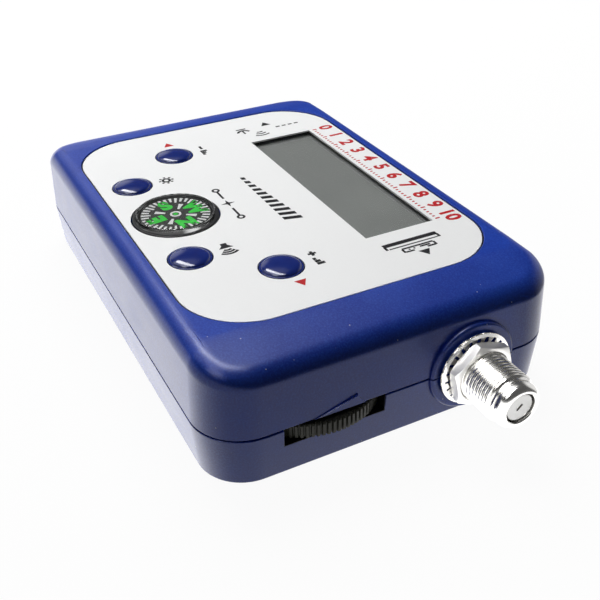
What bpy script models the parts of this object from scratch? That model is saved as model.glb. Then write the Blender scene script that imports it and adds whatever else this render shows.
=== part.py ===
"""Hand-held satellite signal meter, built as an assembly of separate pieces.

X runs along the meter, from the connector that faces the dish (-X) to the one that faces
the receiver and the thumbwheel (+X). Y runs across it, towards the display. Z is up, and
the origin is the middle of the underside. All lengths are in metres.
"""
from math import cos, pi, radians, sin, sqrt

import bmesh
import bpy
from mathutils import Matrix

# Gaps and cuts
clearance = 0.0003        # between two pieces that meet
slide_clearance = 0.00035  # round a piece that slides
overrun = 0.002           # how far a cutter runs past what it cuts
flat_limit = 0.0000002    # corners of a flat face lie this close to its plane
flat_angle = radians(0.05)

# Case, outside
body_length = 0.1029
body_width = 0.0685
parting_height = 0.00976  # where the two covers meet, above the bench
cover_height = 0.01364    # from there up to the top of the label
corner_radius = 0.0091
base_draft = 0.0007       # how far the walls draw in down to the underside
top_draft = 0.00043       # and up to the rounded top edge
base_edge = 0.0005
edge_width = 0.0032       # rounded top edge, across
edge_height = 0.0030      # and down
end_fall = 0.0024         # the border slopes down to the two ends
side_fall = 0.0004        # and a little to the two long sides
fall_power = 1.4
rim_step = 0.00015        # the border stands this far above the label
end_rim = 0.00707         # border between the rounded edge and the label's ends
side_rim = 0.00072        # and its long sides

# Case, inside
wall_thickness = 0.0022
floor_thickness = 0.0020
face_thickness = 0.0018
inner_draft = 0.0004
ceiling_round = 0.0022
tongue_thickness = 0.0009
tongue_height = 0.0012

# Screw columns in the four corners
column_inset = 0.00545    # from both walls, outside
column_radius = 0.0029
column_foot_radius = 0.0038
column_foot_height = 0.0020
case_screw_radius = 0.00105
case_screw_reach = 0.0080  # above the parting line
screw_head_radius = 0.0022
screw_head_height = 0.0015
screw_head_depth = 0.0006  # below the underside
screw_cross_width = 0.0006
screw_cross_depth = 0.0008

# Label
label_radius = 0.01245
label_thickness = 0.0004

# Display
window_length = 0.0507
window_width = 0.0148
window_margin = 0.0065    # from the far side of the label
window_lap = 0.0012       # how far the pane reaches under the label
pane_thickness = 0.0008
window_step = 0.0002      # the opening under the pane is smaller all round by this
bezel_margin = 0.0036     # bezel beyond the opening
bezel_wall = 0.0006
glass_thickness = 0.0020
zebra_width = 0.0020
backlight_gap = 0.0005    # under the light guide

# Push buttons, two for the attenuator further apart than the two beside the compass
attenuator_margin = 0.0098  # from the ends of the label
attenuator_y = -0.0098
key_gap = 0.00105         # between a button's flange and the compass's well
key_drop = 0.0034         # nearer the edge than the compass
button_radius = 0.00385
button_rise = 0.0009      # dome above the label
button_shoulder = 0.0002  # straight side above the label, under the dome
button_travel = 0.0005
flange_width = 0.00145
flange_thickness = 0.0010
switch_size = 0.0060
switch_share = 0.7        # of the room between the board and a pressed button
plunger_radius = 0.00175
plunger_share = 0.4       # of the switch's height that the plunger reaches down

# Compass
compass_margin = 0.0018    # from the near side of the label
compass_radius = 0.0084
compass_rise = 0.0001     # its rim, above the label
cup_wall = 0.0007
cup_floor = 0.0010
cup_ledge = 0.0005
lens_thickness = 0.00145
lens_rise = 0.00105       # above the rim of the cup
well_wall = 0.00135
well_floor = 0.0011
card_gap = 0.0003         # between the card and the cup
card_thickness = 0.0005
card_depth = 0.0003       # below the lens
card_hub_radius = 0.0016
card_hub_share = 0.5      # of the room between the card and the pivot's foot
pivot_radius = 0.0005
pivot_foot_radius = 0.0013
pivot_foot_height = 0.0008
magnet_length = 0.0090
magnet_width = 0.0016
magnet_thickness = 0.0010
magnet_offset = 0.0029    # each bar from the card's axis

# Thumbwheel of the buzzer's volume control
wheel_radius = 0.0140
wheel_thickness = 0.0028
wheel_drop = 0.00056      # top of the wheel below the parting line
wheel_protrusion = 0.00115
wheel_inset = 0.0219      # its axis, from the near side of the case
rib_depth = 0.00035
slot_width = 0.0189
hub_radius = 0.0022
axle_radius = 0.0010
axle_head_radius = 0.0022
axle_head_height = 0.0009
control_size = 0.0120
control_height = 0.0024
control_roof = 0.0007

# Raised wedge above the wheel, the usual mark of a volume control
wedge_height = 0.0022
wedge_length = 0.0094
wedge_slant = 0.0014      # its high end leans back by this
wedge_offset = 0.00405    # its thin end, from the wheel's axis
wedge_relief = 0.0003

# Circuit board
board_thickness = 0.0016
board_margin = 0.00225    # from the walls
board_corner = 0.0010
post_gap = 0.00165        # between a post and the display
post_inset = 0.00775      # from the long sides of the case
post_radius = 0.0024
post_screw_radius = 0.00085
post_screw_reach = 0.0040
post_screw_head_radius = 0.0018
post_screw_head_height = 0.0012

# Coaxial connectors, with the common 3/8-32 thread
thread_radius = 0.00472
thread_depth = 0.00045
thread_pitch = 0.000794
thread_end = 0.0107       # beyond the end wall
collar_radius = 0.0043
collar_length = 0.0008
nose_length = 0.00195
nose_radius = 0.0032      # at the front
nose_base_radius = 0.00425
nose_rounding = 0.0013    # length of its round end
nose_steps = 4
bore_radius = 0.00285
bore_depth = 0.0148
insulator_recess = 0.0004
insulator_skin = 0.0004
contact_radius = 0.00045
contact_recess = 0.0013   # front of the contact behind the front of the nose
slit_length = 0.0014
slit_width = 0.0004
slit_angle = radians(135)
shoulder_radius = 0.0055
shoulder_length = 0.0022
tail_radius = 0.0020
contact_tail = 0.0020     # inside the screening can
boss_radius = 0.0086
boss_height = 0.0006
boss_edge = 0.0005
washer_radius = 0.0066
washer_thickness = 0.0006
washer_tooth = 0.0006
nut_width = 0.0112        # across its flats
nut_thickness = 0.0021
nut_angle = radians(42)   # of one corner, from +Y towards +Z
nut_chamfer = 0.0004

# Screening can, between the wheel and the board's screws, and the pieces on the board
can_gap = 0.00235         # from the connectors' shoulders
can_wheel_gap = 0.00335
can_screw_gap = 0.0011
can_height = 0.0069
can_wall = 0.0005
can_hole_radius = 0.0013
choke_radius = 0.0026
choke_bore_radius = 0.0012
choke_height = 0.0030
choke_shares = (-0.25, 0.25)             # along the can
chip_size = 0.0100
chip_height = 0.0014
chip_place = (-0.0100, 0.0218)           # along X, and in from the near edge of the board
crystal_length = 0.0110
crystal_width = 0.0045
crystal_height = 0.0035
crystal_place = (0.0060, 0.0218)
capacitor_radius = 0.0025
capacitor_height = 0.0055
capacitor_groove = 0.0002
capacitor_places = ((-0.0240, 0.0228), (-0.0240, 0.0148), (0.0060, 0.0108))
sounder_radius = 0.0050
sounder_inset = 0.01145   # from the end of the case
sounder_y = -0.0120
sounder_hole_radius = 0.0010
sounder_gap = 0.0010      # between the sounder and the face

# Facets
corner_steps = 6
edge_steps = 4
dome_steps = 3
fine_sides = 40
round_sides = 24
small_sides = 16
tiny_sides = 12
rib_count = 96
tooth_count = 16

# Heights and reaches that follow
half_length = body_length / 2
half_width = body_width / 2
half_gap = clearance / 2
face_height = parting_height + cover_height
rim_height = face_height + rim_step
flat_inset = top_draft + edge_width
label_length = body_length - 2 * (flat_inset + end_rim + clearance)
label_width = body_width - 2 * (flat_inset + side_rim + clearance)
label_base = face_height - label_thickness
recess_floor = label_base - clearance
ceiling = recess_floor - face_thickness
recess_half_x = label_length / 2 + clearance
recess_half_y = label_width / 2 + clearance
recess_radius = label_radius + clearance
window_y = label_width / 2 - window_margin - window_width / 2
attenuator_x = label_length / 2 - attenuator_margin - button_radius
flange_radius = button_radius + flange_width
compass_y = compass_margin + compass_radius - label_width / 2
well_radius = compass_radius + clearance
key_x = well_radius + well_wall + key_gap + flange_radius
key_y = compass_y - key_drop
wheel_y = wheel_inset - half_width
wedge_point_y = wheel_y - wedge_offset
board_half_x = half_length - wall_thickness - board_margin
board_half_y = half_width - wall_thickness - board_margin
sounder_place = (sounder_inset - half_length, sounder_y)
column_x = half_length - column_inset
column_y = half_width - column_inset
post_x = window_length / 2 + bezel_margin + post_gap + post_radius
post_y = half_width - post_inset
corners = [(x, y) for x in (-column_x, column_x) for y in (-column_y, column_y)]
posts = [(x, y) for x in (-post_x, post_x) for y in (-post_y, post_y)]
corner_names = ("left_near", "left_far", "right_near", "right_far")
wheel_top = parting_height - wheel_drop
wheel_base = wheel_top - wheel_thickness
wheel_x = half_length + wheel_protrusion - wheel_radius
slot_sill = wheel_base - clearance
control_base = wheel_top + clearance
control_top = control_base + control_height
board_base = control_top + clearance
board_top = board_base + board_thickness
top_mount = board_top + clearance        # underside of the pieces on the board
hung_mount = board_base - clearance      # top of the pieces under the board
well_base = board_top + clearance
well_top = well_base + well_floor
cup_base = well_top + clearance
cup_top = face_height + compass_rise
boss_face = half_length + boss_height
washer_base = boss_face + clearance
nut_base = washer_base + washer_thickness + clearance
collar_base = half_length + thread_end
nose_base = collar_base + collar_length
nose_front = nose_base + nose_length
shoulder_face = half_length - wall_thickness - inner_draft - clearance
shoulder_back = shoulder_face - shoulder_length
can_near = wheel_y + wheel_radius + can_wheel_gap
can_far = post_y - post_screw_head_radius - can_screw_gap
can_length = 2 * (shoulder_back - can_gap)
can_width = can_far - can_near
connector_y = (can_near + can_far) / 2
tail_end = can_length / 2 + clearance
rebate = wall_thickness - tongue_thickness - clearance   # left of the wall beside the tongue


def material(name, colour, roughness, metallic=0.0, alpha=1.0):
    """One Principled material."""
    made = bpy.data.materials.new(name)
    made.use_nodes = True
    shader = made.node_tree.nodes["Principled BSDF"]
    shader.inputs["Base Color"].default_value = (*colour, 1.0)
    shader.inputs["Roughness"].default_value = roughness
    shader.inputs["Metallic"].default_value = metallic
    shader.inputs["Alpha"].default_value = alpha
    return made


def add(name, bm, finish, place=(0.0, 0.0, 0.0), turn=None):
    """Make an object from a closed mesh, with its faces out."""
    bmesh.ops.recalc_face_normals(bm, faces=bm.faces)
    mesh = bpy.data.meshes.new(name)
    bm.to_mesh(mesh)
    bm.free()
    piece = bpy.data.objects.new(name, mesh)
    bpy.context.collection.objects.link(piece)
    mesh.materials.append(finish)
    piece.matrix_world = Matrix.Translation(place) @ (turn or Matrix())
    return piece


def combine(piece, tool, operation):
    """Join, cut or keep with a second object, which is used up."""
    bpy.context.view_layer.update()
    modifier = piece.modifiers.new(operation, "BOOLEAN")
    modifier.operation = operation
    modifier.solver = "EXACT"
    modifier.object = tool
    graph = bpy.context.evaluated_depsgraph_get()
    result = bpy.data.meshes.new_from_object(piece.evaluated_get(graph))
    result.name = piece.name
    piece.modifiers.clear()
    piece.data = result
    bpy.data.objects.remove(tool)


def join(piece, bm, place=(0.0, 0.0, 0.0), turn=None):
    combine(piece, add("join", bm, piece.data.materials[0], place, turn), "UNION")


def cut(piece, bm, place=(0.0, 0.0, 0.0), turn=None):
    combine(piece, add("cut", bm, piece.data.materials[0], place, turn), "DIFFERENCE")


def keep(piece, bm, place=(0.0, 0.0, 0.0), turn=None):
    combine(piece, add("keep", bm, piece.data.materials[0], place, turn), "INTERSECT")


def join_flat_faces(piece):
    """Take out the edges that cross flat faces."""
    bm = bmesh.new()
    bm.from_mesh(piece.data)
    bmesh.ops.dissolve_limit(bm, angle_limit=flat_angle, verts=bm.verts, edges=bm.edges)
    bm.to_mesh(piece.data)
    bm.free()


def rounded(half_x, half_y, radius, steps=corner_steps):
    """The points of a rectangle with round corners, anticlockwise."""
    points = []
    for quarter, (sx, sy) in enumerate(((1, 1), (-1, 1), (-1, -1), (1, -1))):
        centre_x = sx * (half_x - radius)
        centre_y = sy * (half_y - radius)
        for step in range(steps + 1):
            angle = (quarter + step / steps) * pi / 2
            points.append((centre_x + radius * cos(angle), centre_y + radius * sin(angle)))
    return points


def circle(radius, sides, start=0.0):
    """The points of a circle, anticlockwise."""
    angles = [start + 2 * pi * i / sides for i in range(sides)]
    return [(radius * cos(a), radius * sin(a)) for a in angles]


def raised(points, height):
    return [(x, y, height) for x, y in points]


def is_flat(face):
    """Whether all the corners of a face lie in one plane."""
    start = face.verts[0].co
    return all(abs((vert.co - start).dot(face.normal)) < flat_limit for vert in face.verts)


def stack(rings, closed=False):
    """A body through rings with equal numbers of points; its end rings are filled."""
    bm = bmesh.new()
    loops = [[bm.verts.new(point) for point in ring] for ring in rings]
    pairs = list(zip(loops, loops[1:]))
    if closed:
        pairs.append((loops[-1], loops[0]))
    else:
        bm.faces.new(loops[0])
        bm.faces.new(loops[-1])
    for low, high in pairs:
        for i in range(len(low)):
            j = (i + 1) % len(low)
            bm.faces.new((low[i], low[j], high[j], high[i]))
    bmesh.ops.recalc_face_normals(bm, faces=bm.faces)
    bent = [face for face in bm.faces if not is_flat(face)]
    bmesh.ops.triangulate(bm, faces=bent)
    return bm


def prism(points, base, top):
    """A flat outline raised from base to top."""
    return stack([raised(points, base), raised(points, top)])


def block(size_x, size_y, base, top):
    """A block centred on the Z axis."""
    half_x = size_x / 2
    half_y = size_y / 2
    points = [(half_x, half_y), (-half_x, half_y), (-half_x, -half_y), (half_x, -half_y)]
    return prism(points, base, top)


def drum(radius, base, top, sides=round_sides):
    """A plain cylinder on the Z axis."""
    return prism(circle(radius, sides), base, top)


def turned(profile, sides=round_sides, closed=False):
    """A body turned about Z from (radius, height) points; a radius of 0 is a point."""
    bm = bmesh.new()
    loops = []
    for radius, height in profile:
        points = raised(circle(radius, sides), height) if radius else [(0.0, 0.0, height)]
        loops.append([bm.verts.new(point) for point in points])
    pairs = list(zip(loops, loops[1:]))
    if closed:
        pairs.append((loops[-1], loops[0]))
    for low, high in pairs:
        if len(low) == 1 and len(high) == 1:
            continue
        for i in range(sides):
            j = (i + 1) % sides
            corners_here = (low[i % len(low)], low[j % len(low)],
                            high[j % len(high)], high[i % len(high)])
            bm.faces.new(list(dict.fromkeys(corners_here)))
    if not closed:
        for loop in (loops[0], loops[-1]):
            if len(loop) > 1:
                bm.faces.new(loop)
    bmesh.ops.recalc_face_normals(bm, faces=bm.faces)
    return bm


def sleeve(outer, inner, base, top, sides=round_sides):
    """A tube on the Z axis."""
    return turned([(outer, base), (outer, top), (inner, top), (inner, base)], sides, True)


def towards(end):
    """Turns +Z to +X for end 1, and to -X for end -1."""
    return Matrix.Rotation(end * pi / 2, 4, "Y")


def fall(x, y):
    """How far the sloping border lies below the flat middle of the face."""
    along = (abs(x) - recess_half_x) / (half_length - recess_half_x)
    across = (abs(y) - recess_half_y) / (half_width - recess_half_y)
    along = min(max(along, 0.0), 1.0)
    across = min(max(across, 0.0), 1.0)
    return end_fall * along ** fall_power + side_fall * across ** fall_power


def body_ring(inset, height, sloped=False):
    """The case's outline drawn in by inset; a sloped ring follows the border down."""
    points = rounded(half_length - inset, half_width - inset, corner_radius - inset)
    share = (height - parting_height) / (rim_height - parting_height) if sloped else 0.0
    return [(x, y, height - share * fall(x, y)) for x, y in points]


def blended_ring(inset, height):
    """Half-way from the case's outline to the recess for the label."""
    outer = rounded(half_length - inset, half_width - inset, corner_radius - inset)
    inner = rounded(recess_half_x, recess_half_y, recess_radius)
    ring = []
    for (ax, ay), (bx, by) in zip(outer, inner):
        x = (ax + bx) / 2
        y = (ay + by) / 2
        ring.append((x, y, height - fall(x, y)))
    return ring


def end_boss():
    """The raised round pad that a connector's washer bears on, about the Z axis."""
    back = half_length - rebate + half_gap
    return turned([(0.0, back), (boss_radius, back), (boss_radius, boss_face - boss_edge),
                   (boss_radius - boss_edge, boss_face), (0.0, boss_face)], fine_sides)


def add_bosses(cover, lower):
    """Both end pads, split at the parting line, and the holes for the connectors."""
    for end in (-1, 1):
        pad = add("pad", end_boss(), cover.data.materials[0],
                  (0.0, connector_y, parting_height), towards(end))
        low = 0.0 if lower else parting_height + half_gap
        high = parting_height - half_gap if lower else rim_height
        keep(pad, block(body_length + body_width, body_width, low, high))
        combine(cover, pad, "UNION")
        hole = drum(thread_radius + clearance, half_length - 2 * wall_thickness,
                    boss_face + overrun)
        cut(cover, hole, (0.0, connector_y, parting_height), towards(end))


def bottom_cover(finish):
    """The lower half of the case: a tub with a tongue round its edge."""
    top = parting_height - half_gap
    tongue_outer = wall_thickness - tongue_thickness
    rings = [body_ring(base_draft + base_edge, 0.0),
             body_ring(base_draft, base_edge),
             body_ring(0.0, top),
             body_ring(tongue_outer, top),
             body_ring(tongue_outer, top + tongue_height),
             body_ring(wall_thickness, top + tongue_height),
             body_ring(wall_thickness + inner_draft, floor_thickness + base_edge),
             body_ring(wall_thickness + inner_draft + base_edge, floor_thickness)]
    cover = add("bottom_cover", stack(rings), finish)
    for x, y in corners:
        column = [(column_foot_radius, floor_thickness - base_edge),
                  (column_foot_radius, floor_thickness + column_foot_height),
                  (column_radius, floor_thickness + column_foot_height + base_edge),
                  (column_radius, top)]
        column_piece = add("column", turned(column, small_sides), finish, (x, y, 0.0))
        keep(column_piece, stack([body_ring(base_draft + base_edge, 0.0),
                                  body_ring(base_draft + base_edge, top)]))
        combine(cover, column_piece, "UNION")
        counterbore = screw_head_depth + screw_head_height + clearance
        cut(cover, drum(screw_head_radius + clearance, -overrun, counterbore, small_sides),
            (x, y, 0.0))
        cut(cover, drum(case_screw_radius + clearance, 0.0, top + overrun, tiny_sides),
            (x, y, 0.0))
    add_bosses(cover, True)
    slot_depth = 2 * wall_thickness + boss_height
    cut(cover, block(slot_depth, slot_width, slot_sill, parting_height + tongue_height + overrun),
        (half_length - wall_thickness / 2, wheel_y, 0.0))
    cut(cover, drum(wheel_radius + clearance, slot_sill, parting_height + tongue_height + overrun,
                    fine_sides), (wheel_x, wheel_y, 0.0))
    return cover


def top_cover(finish):
    """The upper half of the case, with the recess for the label and everything in it."""
    base = parting_height + half_gap
    rebate_top = parting_height + tongue_height + clearance
    rings = [body_ring(rebate, base), body_ring(0.0, base),
             body_ring(top_draft, rim_height - edge_height, True)]
    for step in range(1, edge_steps + 1):
        angle = step / edge_steps * pi / 2
        rings.append(body_ring(top_draft + edge_width * (1 - cos(angle)),
                               rim_height - edge_height * (1 - sin(angle)), True))
    recess = rounded(recess_half_x, recess_half_y, recess_radius)
    rings.append(blended_ring(flat_inset, rim_height))
    rings.append(raised(recess, rim_height))
    rings.append(raised(recess, recess_floor))
    outside = rings
    inner_top = wall_thickness + inner_draft
    inside = [body_ring(rebate, base), body_ring(rebate, rebate_top),
              body_ring(wall_thickness, rebate_top),
              body_ring(inner_top, ceiling - edge_height, True),
              body_ring(inner_top + ceiling_round, ceiling, True),
              raised(recess, ceiling)]
    cover = add("top_cover", stack(list(reversed(inside[1:])) + outside), finish)

    column_top = ceiling + face_thickness / 2
    half_wall = wall_thickness / 2
    for x, y in corners:
        column = add("column", drum(column_radius, base, column_top, small_sides), finish,
                     (x, y, 0.0))
        keep(column, stack([body_ring(wall_thickness + clearance, 0.0),
                            body_ring(wall_thickness + clearance, rebate_top),
                            body_ring(half_wall, rebate_top),
                            body_ring(half_wall, rim_height - edge_height, True),
                            body_ring(flat_inset, column_top, True)]))
        combine(cover, column, "UNION")
    for x, y in posts:
        join(cover, drum(post_radius, top_mount, column_top, small_sides), (x, y, 0.0))
        cut(cover, drum(post_screw_radius + clearance, board_top,
                        board_top + post_screw_reach + clearance, tiny_sides), (x, y, 0.0))
    for x, y in corners:
        cut(cover, drum(case_screw_radius + clearance, base - overrun,
                        parting_height + case_screw_reach + clearance, tiny_sides), (x, y, 0.0))
    join(cover, drum(well_radius + well_wall, well_base, column_top), (0.0, compass_y, 0.0))
    cut(cover, drum(well_radius, well_top, rim_height + overrun), (0.0, compass_y, 0.0))
    add_bosses(cover, False)
    for x, y in button_places().values():
        cut(cover, drum(button_radius + slide_clearance, ceiling - overrun, rim_height),
            (x, y, 0.0))
    pane_base = recess_floor - pane_thickness - clearance
    rebate_x = window_length + 2 * (window_lap + clearance)
    rebate_y = window_width + 2 * (window_lap + clearance)
    cut(cover, block(rebate_x, rebate_y, pane_base, rim_height), (0.0, window_y, 0.0))
    cut(cover, block(window_length - 2 * window_step, window_width - 2 * window_step,
                     ceiling - overrun, rim_height), (0.0, window_y, 0.0))
    add_wedge(cover)
    return cover


def add_wedge(cover):
    """The raised triangle over the wheel, thin end at the -Y side."""
    low = parting_height + half_gap
    blunt_y = wedge_point_y + wedge_length
    outline = [(wedge_point_y, low), (blunt_y, low), (blunt_y - wedge_slant, low + wedge_height)]
    back = half_length - wall_thickness / 2
    bm = stack([[(back, y, z) for y, z in outline],
                [(half_length + wedge_relief, y, z) for y, z in outline]])
    join(cover, bm)


def label(finish):
    """The printed plate in the recess, with its openings."""
    outline = rounded(label_length / 2, label_width / 2, label_radius)
    plate = add("faceplate_label", prism(outline, label_base, face_height), finish)
    low = label_base - overrun
    high = face_height + overrun
    cut(plate, block(window_length, window_width, low, high), (0.0, window_y, 0.0))
    for x, y in button_places().values():
        cut(plate, drum(button_radius + slide_clearance, low, high), (x, y, 0.0))
    cut(plate, drum(well_radius, low, high), (0.0, compass_y, 0.0))


def button_places():
    """Names and centres of the four push buttons."""
    return {"attenuator_left": (-attenuator_x, attenuator_y),
            "attenuator_right": (attenuator_x, attenuator_y),
            "light": (-key_x, key_y),
            "sound": (key_x, key_y)}


def buttons(cap_finish, body_finish, plunger_finish):
    """Caps that slide in the face, each over the plunger of its own switch."""
    flange_top = ceiling - clearance
    flange_base = flange_top - flange_thickness
    socket_top = flange_top + clearance
    dome_base = face_height + button_shoulder
    dome_height = button_rise - button_shoulder
    socket_radius = plunger_radius + clearance
    profile = [(socket_radius, flange_base), (flange_radius, flange_base),
               (flange_radius, flange_top), (button_radius, flange_top)]
    for step in range(dome_steps + 1):
        angle = step / dome_steps * pi / 2
        radius = button_radius * cos(angle) if step < dome_steps else 0.0
        profile.append((radius, dome_base + dome_height * sin(angle)))
    profile = [(0.0, socket_top), (socket_radius, socket_top)] + profile
    plunger_top = socket_top - clearance
    switch_height = (flange_base - button_travel - top_mount) * switch_share
    body_top = top_mount + switch_height
    plunger_base = body_top - switch_height * plunger_share
    pocket_base = plunger_base - button_travel - clearance
    for name, (x, y) in button_places().items():
        lowered = [(radius, height - face_height) for radius, height in profile]
        add("button_" + name, turned(lowered), cap_finish, (x, y, face_height))
        add("plunger_" + name,
            drum(plunger_radius, plunger_base - face_height, plunger_top - face_height,
                 small_sides), plunger_finish, (x, y, face_height))
        body = add("switch_" + name, block(switch_size, switch_size, top_mount, body_top),
                   body_finish, (x, y, 0.0))
        cut(body, drum(plunger_radius + clearance, pocket_base, body_top + overrun, small_sides),
            (x, y, 0.0))


def display(pane_finish, bezel_finish, glass_finish, rubber_finish, light_finish):
    """The pane under the label, and the liquid crystal module on the board."""
    centre = (0.0, window_y, 0.0)
    pane_top = recess_floor
    add("display_window", block(window_length + 2 * window_lap, window_width + 2 * window_lap,
                                pane_top - pane_thickness, pane_top), pane_finish, centre)
    outer_x = window_length + 2 * bezel_margin
    outer_y = window_width + 2 * bezel_margin
    bezel_top = ceiling - clearance
    bezel = add("display_bezel", block(outer_x, outer_y, top_mount, bezel_top), bezel_finish,
                centre)
    cut(bezel, block(outer_x - 2 * bezel_wall, outer_y - 2 * bezel_wall, top_mount - overrun,
                     bezel_top - bezel_wall), centre)
    cut(bezel, block(window_length, window_width, top_mount, bezel_top + overrun), centre)
    inner_x = outer_x - 2 * (bezel_wall + clearance)
    inner_y = outer_y - 2 * (bezel_wall + clearance)
    glass_top = bezel_top - bezel_wall - clearance
    glass_base = glass_top - glass_thickness
    add("display_glass", block(inner_x, inner_y, glass_base, glass_top), glass_finish, centre)
    for name, side in (("near", -1), ("far", 1)):
        strip_y = window_y + side * (inner_y - zebra_width) / 2
        add("display_contact_strip_" + name,
            block(inner_x, zebra_width, top_mount, glass_base - clearance), rubber_finish,
            (0.0, strip_y, 0.0))
    light_y = inner_y - 2 * (zebra_width + clearance)
    add("display_backlight", block(inner_x - 2 * zebra_width, light_y, top_mount + backlight_gap,
                                   glass_base - clearance), light_finish, centre)


def compass(cup_finish, lens_finish, card_finish, metal_finish):
    """A cup with a clear lens over a card that turns on a pin."""
    centre = (0.0, compass_y, 0.0)
    inner = compass_radius - cup_wall
    ledge = inner - cup_ledge
    lens_base = cup_top + lens_rise - lens_thickness
    floor_top = cup_base + cup_floor
    add("compass_cup", turned([(0.0, cup_base), (compass_radius, cup_base),
                               (compass_radius, cup_top), (inner, cup_top),
                               (inner, lens_base - clearance), (ledge, lens_base - clearance),
                               (ledge, floor_top), (0.0, floor_top)]), cup_finish, centre)
    add("compass_lens", drum(inner - clearance, lens_base, lens_base + lens_thickness),
        lens_finish, centre)
    card_top = lens_base - card_depth
    card_base = card_top - card_thickness
    foot_base = floor_top + clearance
    foot_top = foot_base + pivot_foot_height
    hub_base = card_base - (card_base - foot_top) * card_hub_share
    socket = pivot_radius + clearance
    card_radius = ledge - card_gap
    card = [(0.0, card_base + clearance), (socket, card_base), (socket, hub_base),
            (card_hub_radius, hub_base), (card_hub_radius, card_base), (card_radius, card_base),
            (card_radius, card_top), (0.0, card_top)]
    lowered = [(radius, height - card_top) for radius, height in card]
    add("compass_card", turned(lowered), card_finish, (0.0, compass_y, card_top))
    pin = [(0.0, foot_base), (pivot_foot_radius, foot_base), (pivot_foot_radius, foot_top),
           (pivot_radius, foot_top), (pivot_radius, card_base - clearance), (0.0, card_base)]
    add("compass_pivot", turned(pin, tiny_sides), metal_finish, centre)
    for name, side in (("near", -1), ("far", 1)):
        add("compass_magnet_" + name, block(magnet_length, magnet_width, -magnet_thickness, 0.0),
            metal_finish, (0.0, compass_y + side * magnet_offset, card_base - clearance))


def volume_control(wheel_finish, body_finish, metal_finish):
    """The ribbed wheel, its track housing under the board, and the pin that it turns on."""
    outline = []
    for i in range(2 * rib_count):
        radius = wheel_radius - (i % 2) * rib_depth
        angle = pi * i / rib_count
        outline.append((radius * cos(angle), radius * sin(angle)))
    wheel = add("thumbwheel", prism(outline, 0.0, wheel_thickness), wheel_finish,
                (wheel_x, wheel_y, wheel_base))
    bore = axle_radius + clearance
    hub_top = control_top - control_roof - clearance - wheel_base
    join(wheel, drum(hub_radius, wheel_thickness / 2, hub_top, small_sides),
         (wheel_x, wheel_y, wheel_base))
    cut(wheel, drum(bore, -overrun, hub_top + overrun, tiny_sides), (wheel_x, wheel_y, wheel_base))
    body = add("volume_control_body", block(control_size, control_size, control_base, control_top),
               body_finish, (wheel_x, wheel_y, 0.0))
    cut(body, drum(hub_radius + clearance, control_base - overrun, control_top - control_roof,
                   small_sides), (wheel_x, wheel_y, 0.0))
    cut(body, drum(bore, control_base, control_top + overrun, tiny_sides), (wheel_x, wheel_y, 0.0))
    head_top = wheel_base - clearance
    pin = [(0.0, head_top - axle_head_height), (axle_head_radius, head_top - axle_head_height),
           (axle_head_radius, head_top), (axle_radius, head_top), (axle_radius, control_top),
           (0.0, control_top)]
    add("thumbwheel_axle", turned(pin, tiny_sides), metal_finish, (wheel_x, wheel_y, 0.0))


def circuit_board(finish):
    """The board, notched for the columns and the connectors."""
    outline = rounded(board_half_x, board_half_y, board_corner, 1)
    board = add("circuit_board", prism(outline, board_base, board_top), finish)
    low = board_base - overrun
    high = board_top + overrun
    for x, y in corners:
        cut(board, drum(column_radius + 2 * clearance, low, high, small_sides), (x, y, 0.0))
    for x, y in posts:
        cut(board, drum(post_screw_radius + clearance, low, high, tiny_sides), (x, y, 0.0))
    notch = 2 * (shoulder_radius + clearance)
    for end in (-1, 1):
        reach = board_half_x - shoulder_back + 2 * clearance + overrun
        cut(board, block(reach, notch, low, high),
            (end * (board_half_x + overrun - reach / 2), connector_y, 0.0))


def screws(finish):
    """Four screws up through the case's columns, and four through the board."""
    head_top = screw_head_depth + screw_head_height
    long_profile = [(0.0, screw_head_depth), (screw_head_radius, screw_head_depth),
                    (screw_head_radius, head_top), (case_screw_radius, head_top),
                    (case_screw_radius, parting_height + case_screw_reach - case_screw_radius),
                    (0.0, parting_height + case_screw_reach)]
    for (x, y), name in zip(corners, corner_names):
        screw = add("case_screw_" + name, turned(long_profile, tiny_sides), finish, (x, y, 0.0))
        cross_top = screw_head_depth + screw_cross_depth
        cut(screw, block(screw_head_radius, screw_cross_width, -overrun, cross_top), (x, y, 0.0))
        cut(screw, block(screw_cross_width, screw_head_radius, -overrun, cross_top), (x, y, 0.0))
    head_base = hung_mount - post_screw_head_height
    tip = board_top + post_screw_reach
    short_profile = [(0.0, head_base), (post_screw_head_radius, head_base),
                     (post_screw_head_radius, hung_mount), (post_screw_radius, hung_mount),
                     (post_screw_radius, tip - post_screw_radius), (0.0, tip)]
    for (x, y), name in zip(posts, corner_names):
        add("board_screw_" + name, turned(short_profile, tiny_sides), finish, (x, y, 0.0))


def thread_profile():
    """Ridges of the outside thread, from the nut's side to its front end."""
    points = []
    first = nut_base + nut_thickness
    turns = int((collar_base - first) / thread_pitch)
    for i in range(turns):
        height = first + i * thread_pitch
        points.append((thread_radius - thread_depth, height))
        points.append((thread_radius, height + thread_pitch / 2))
    points.append((thread_radius - thread_depth, first + turns * thread_pitch))
    return points


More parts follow.
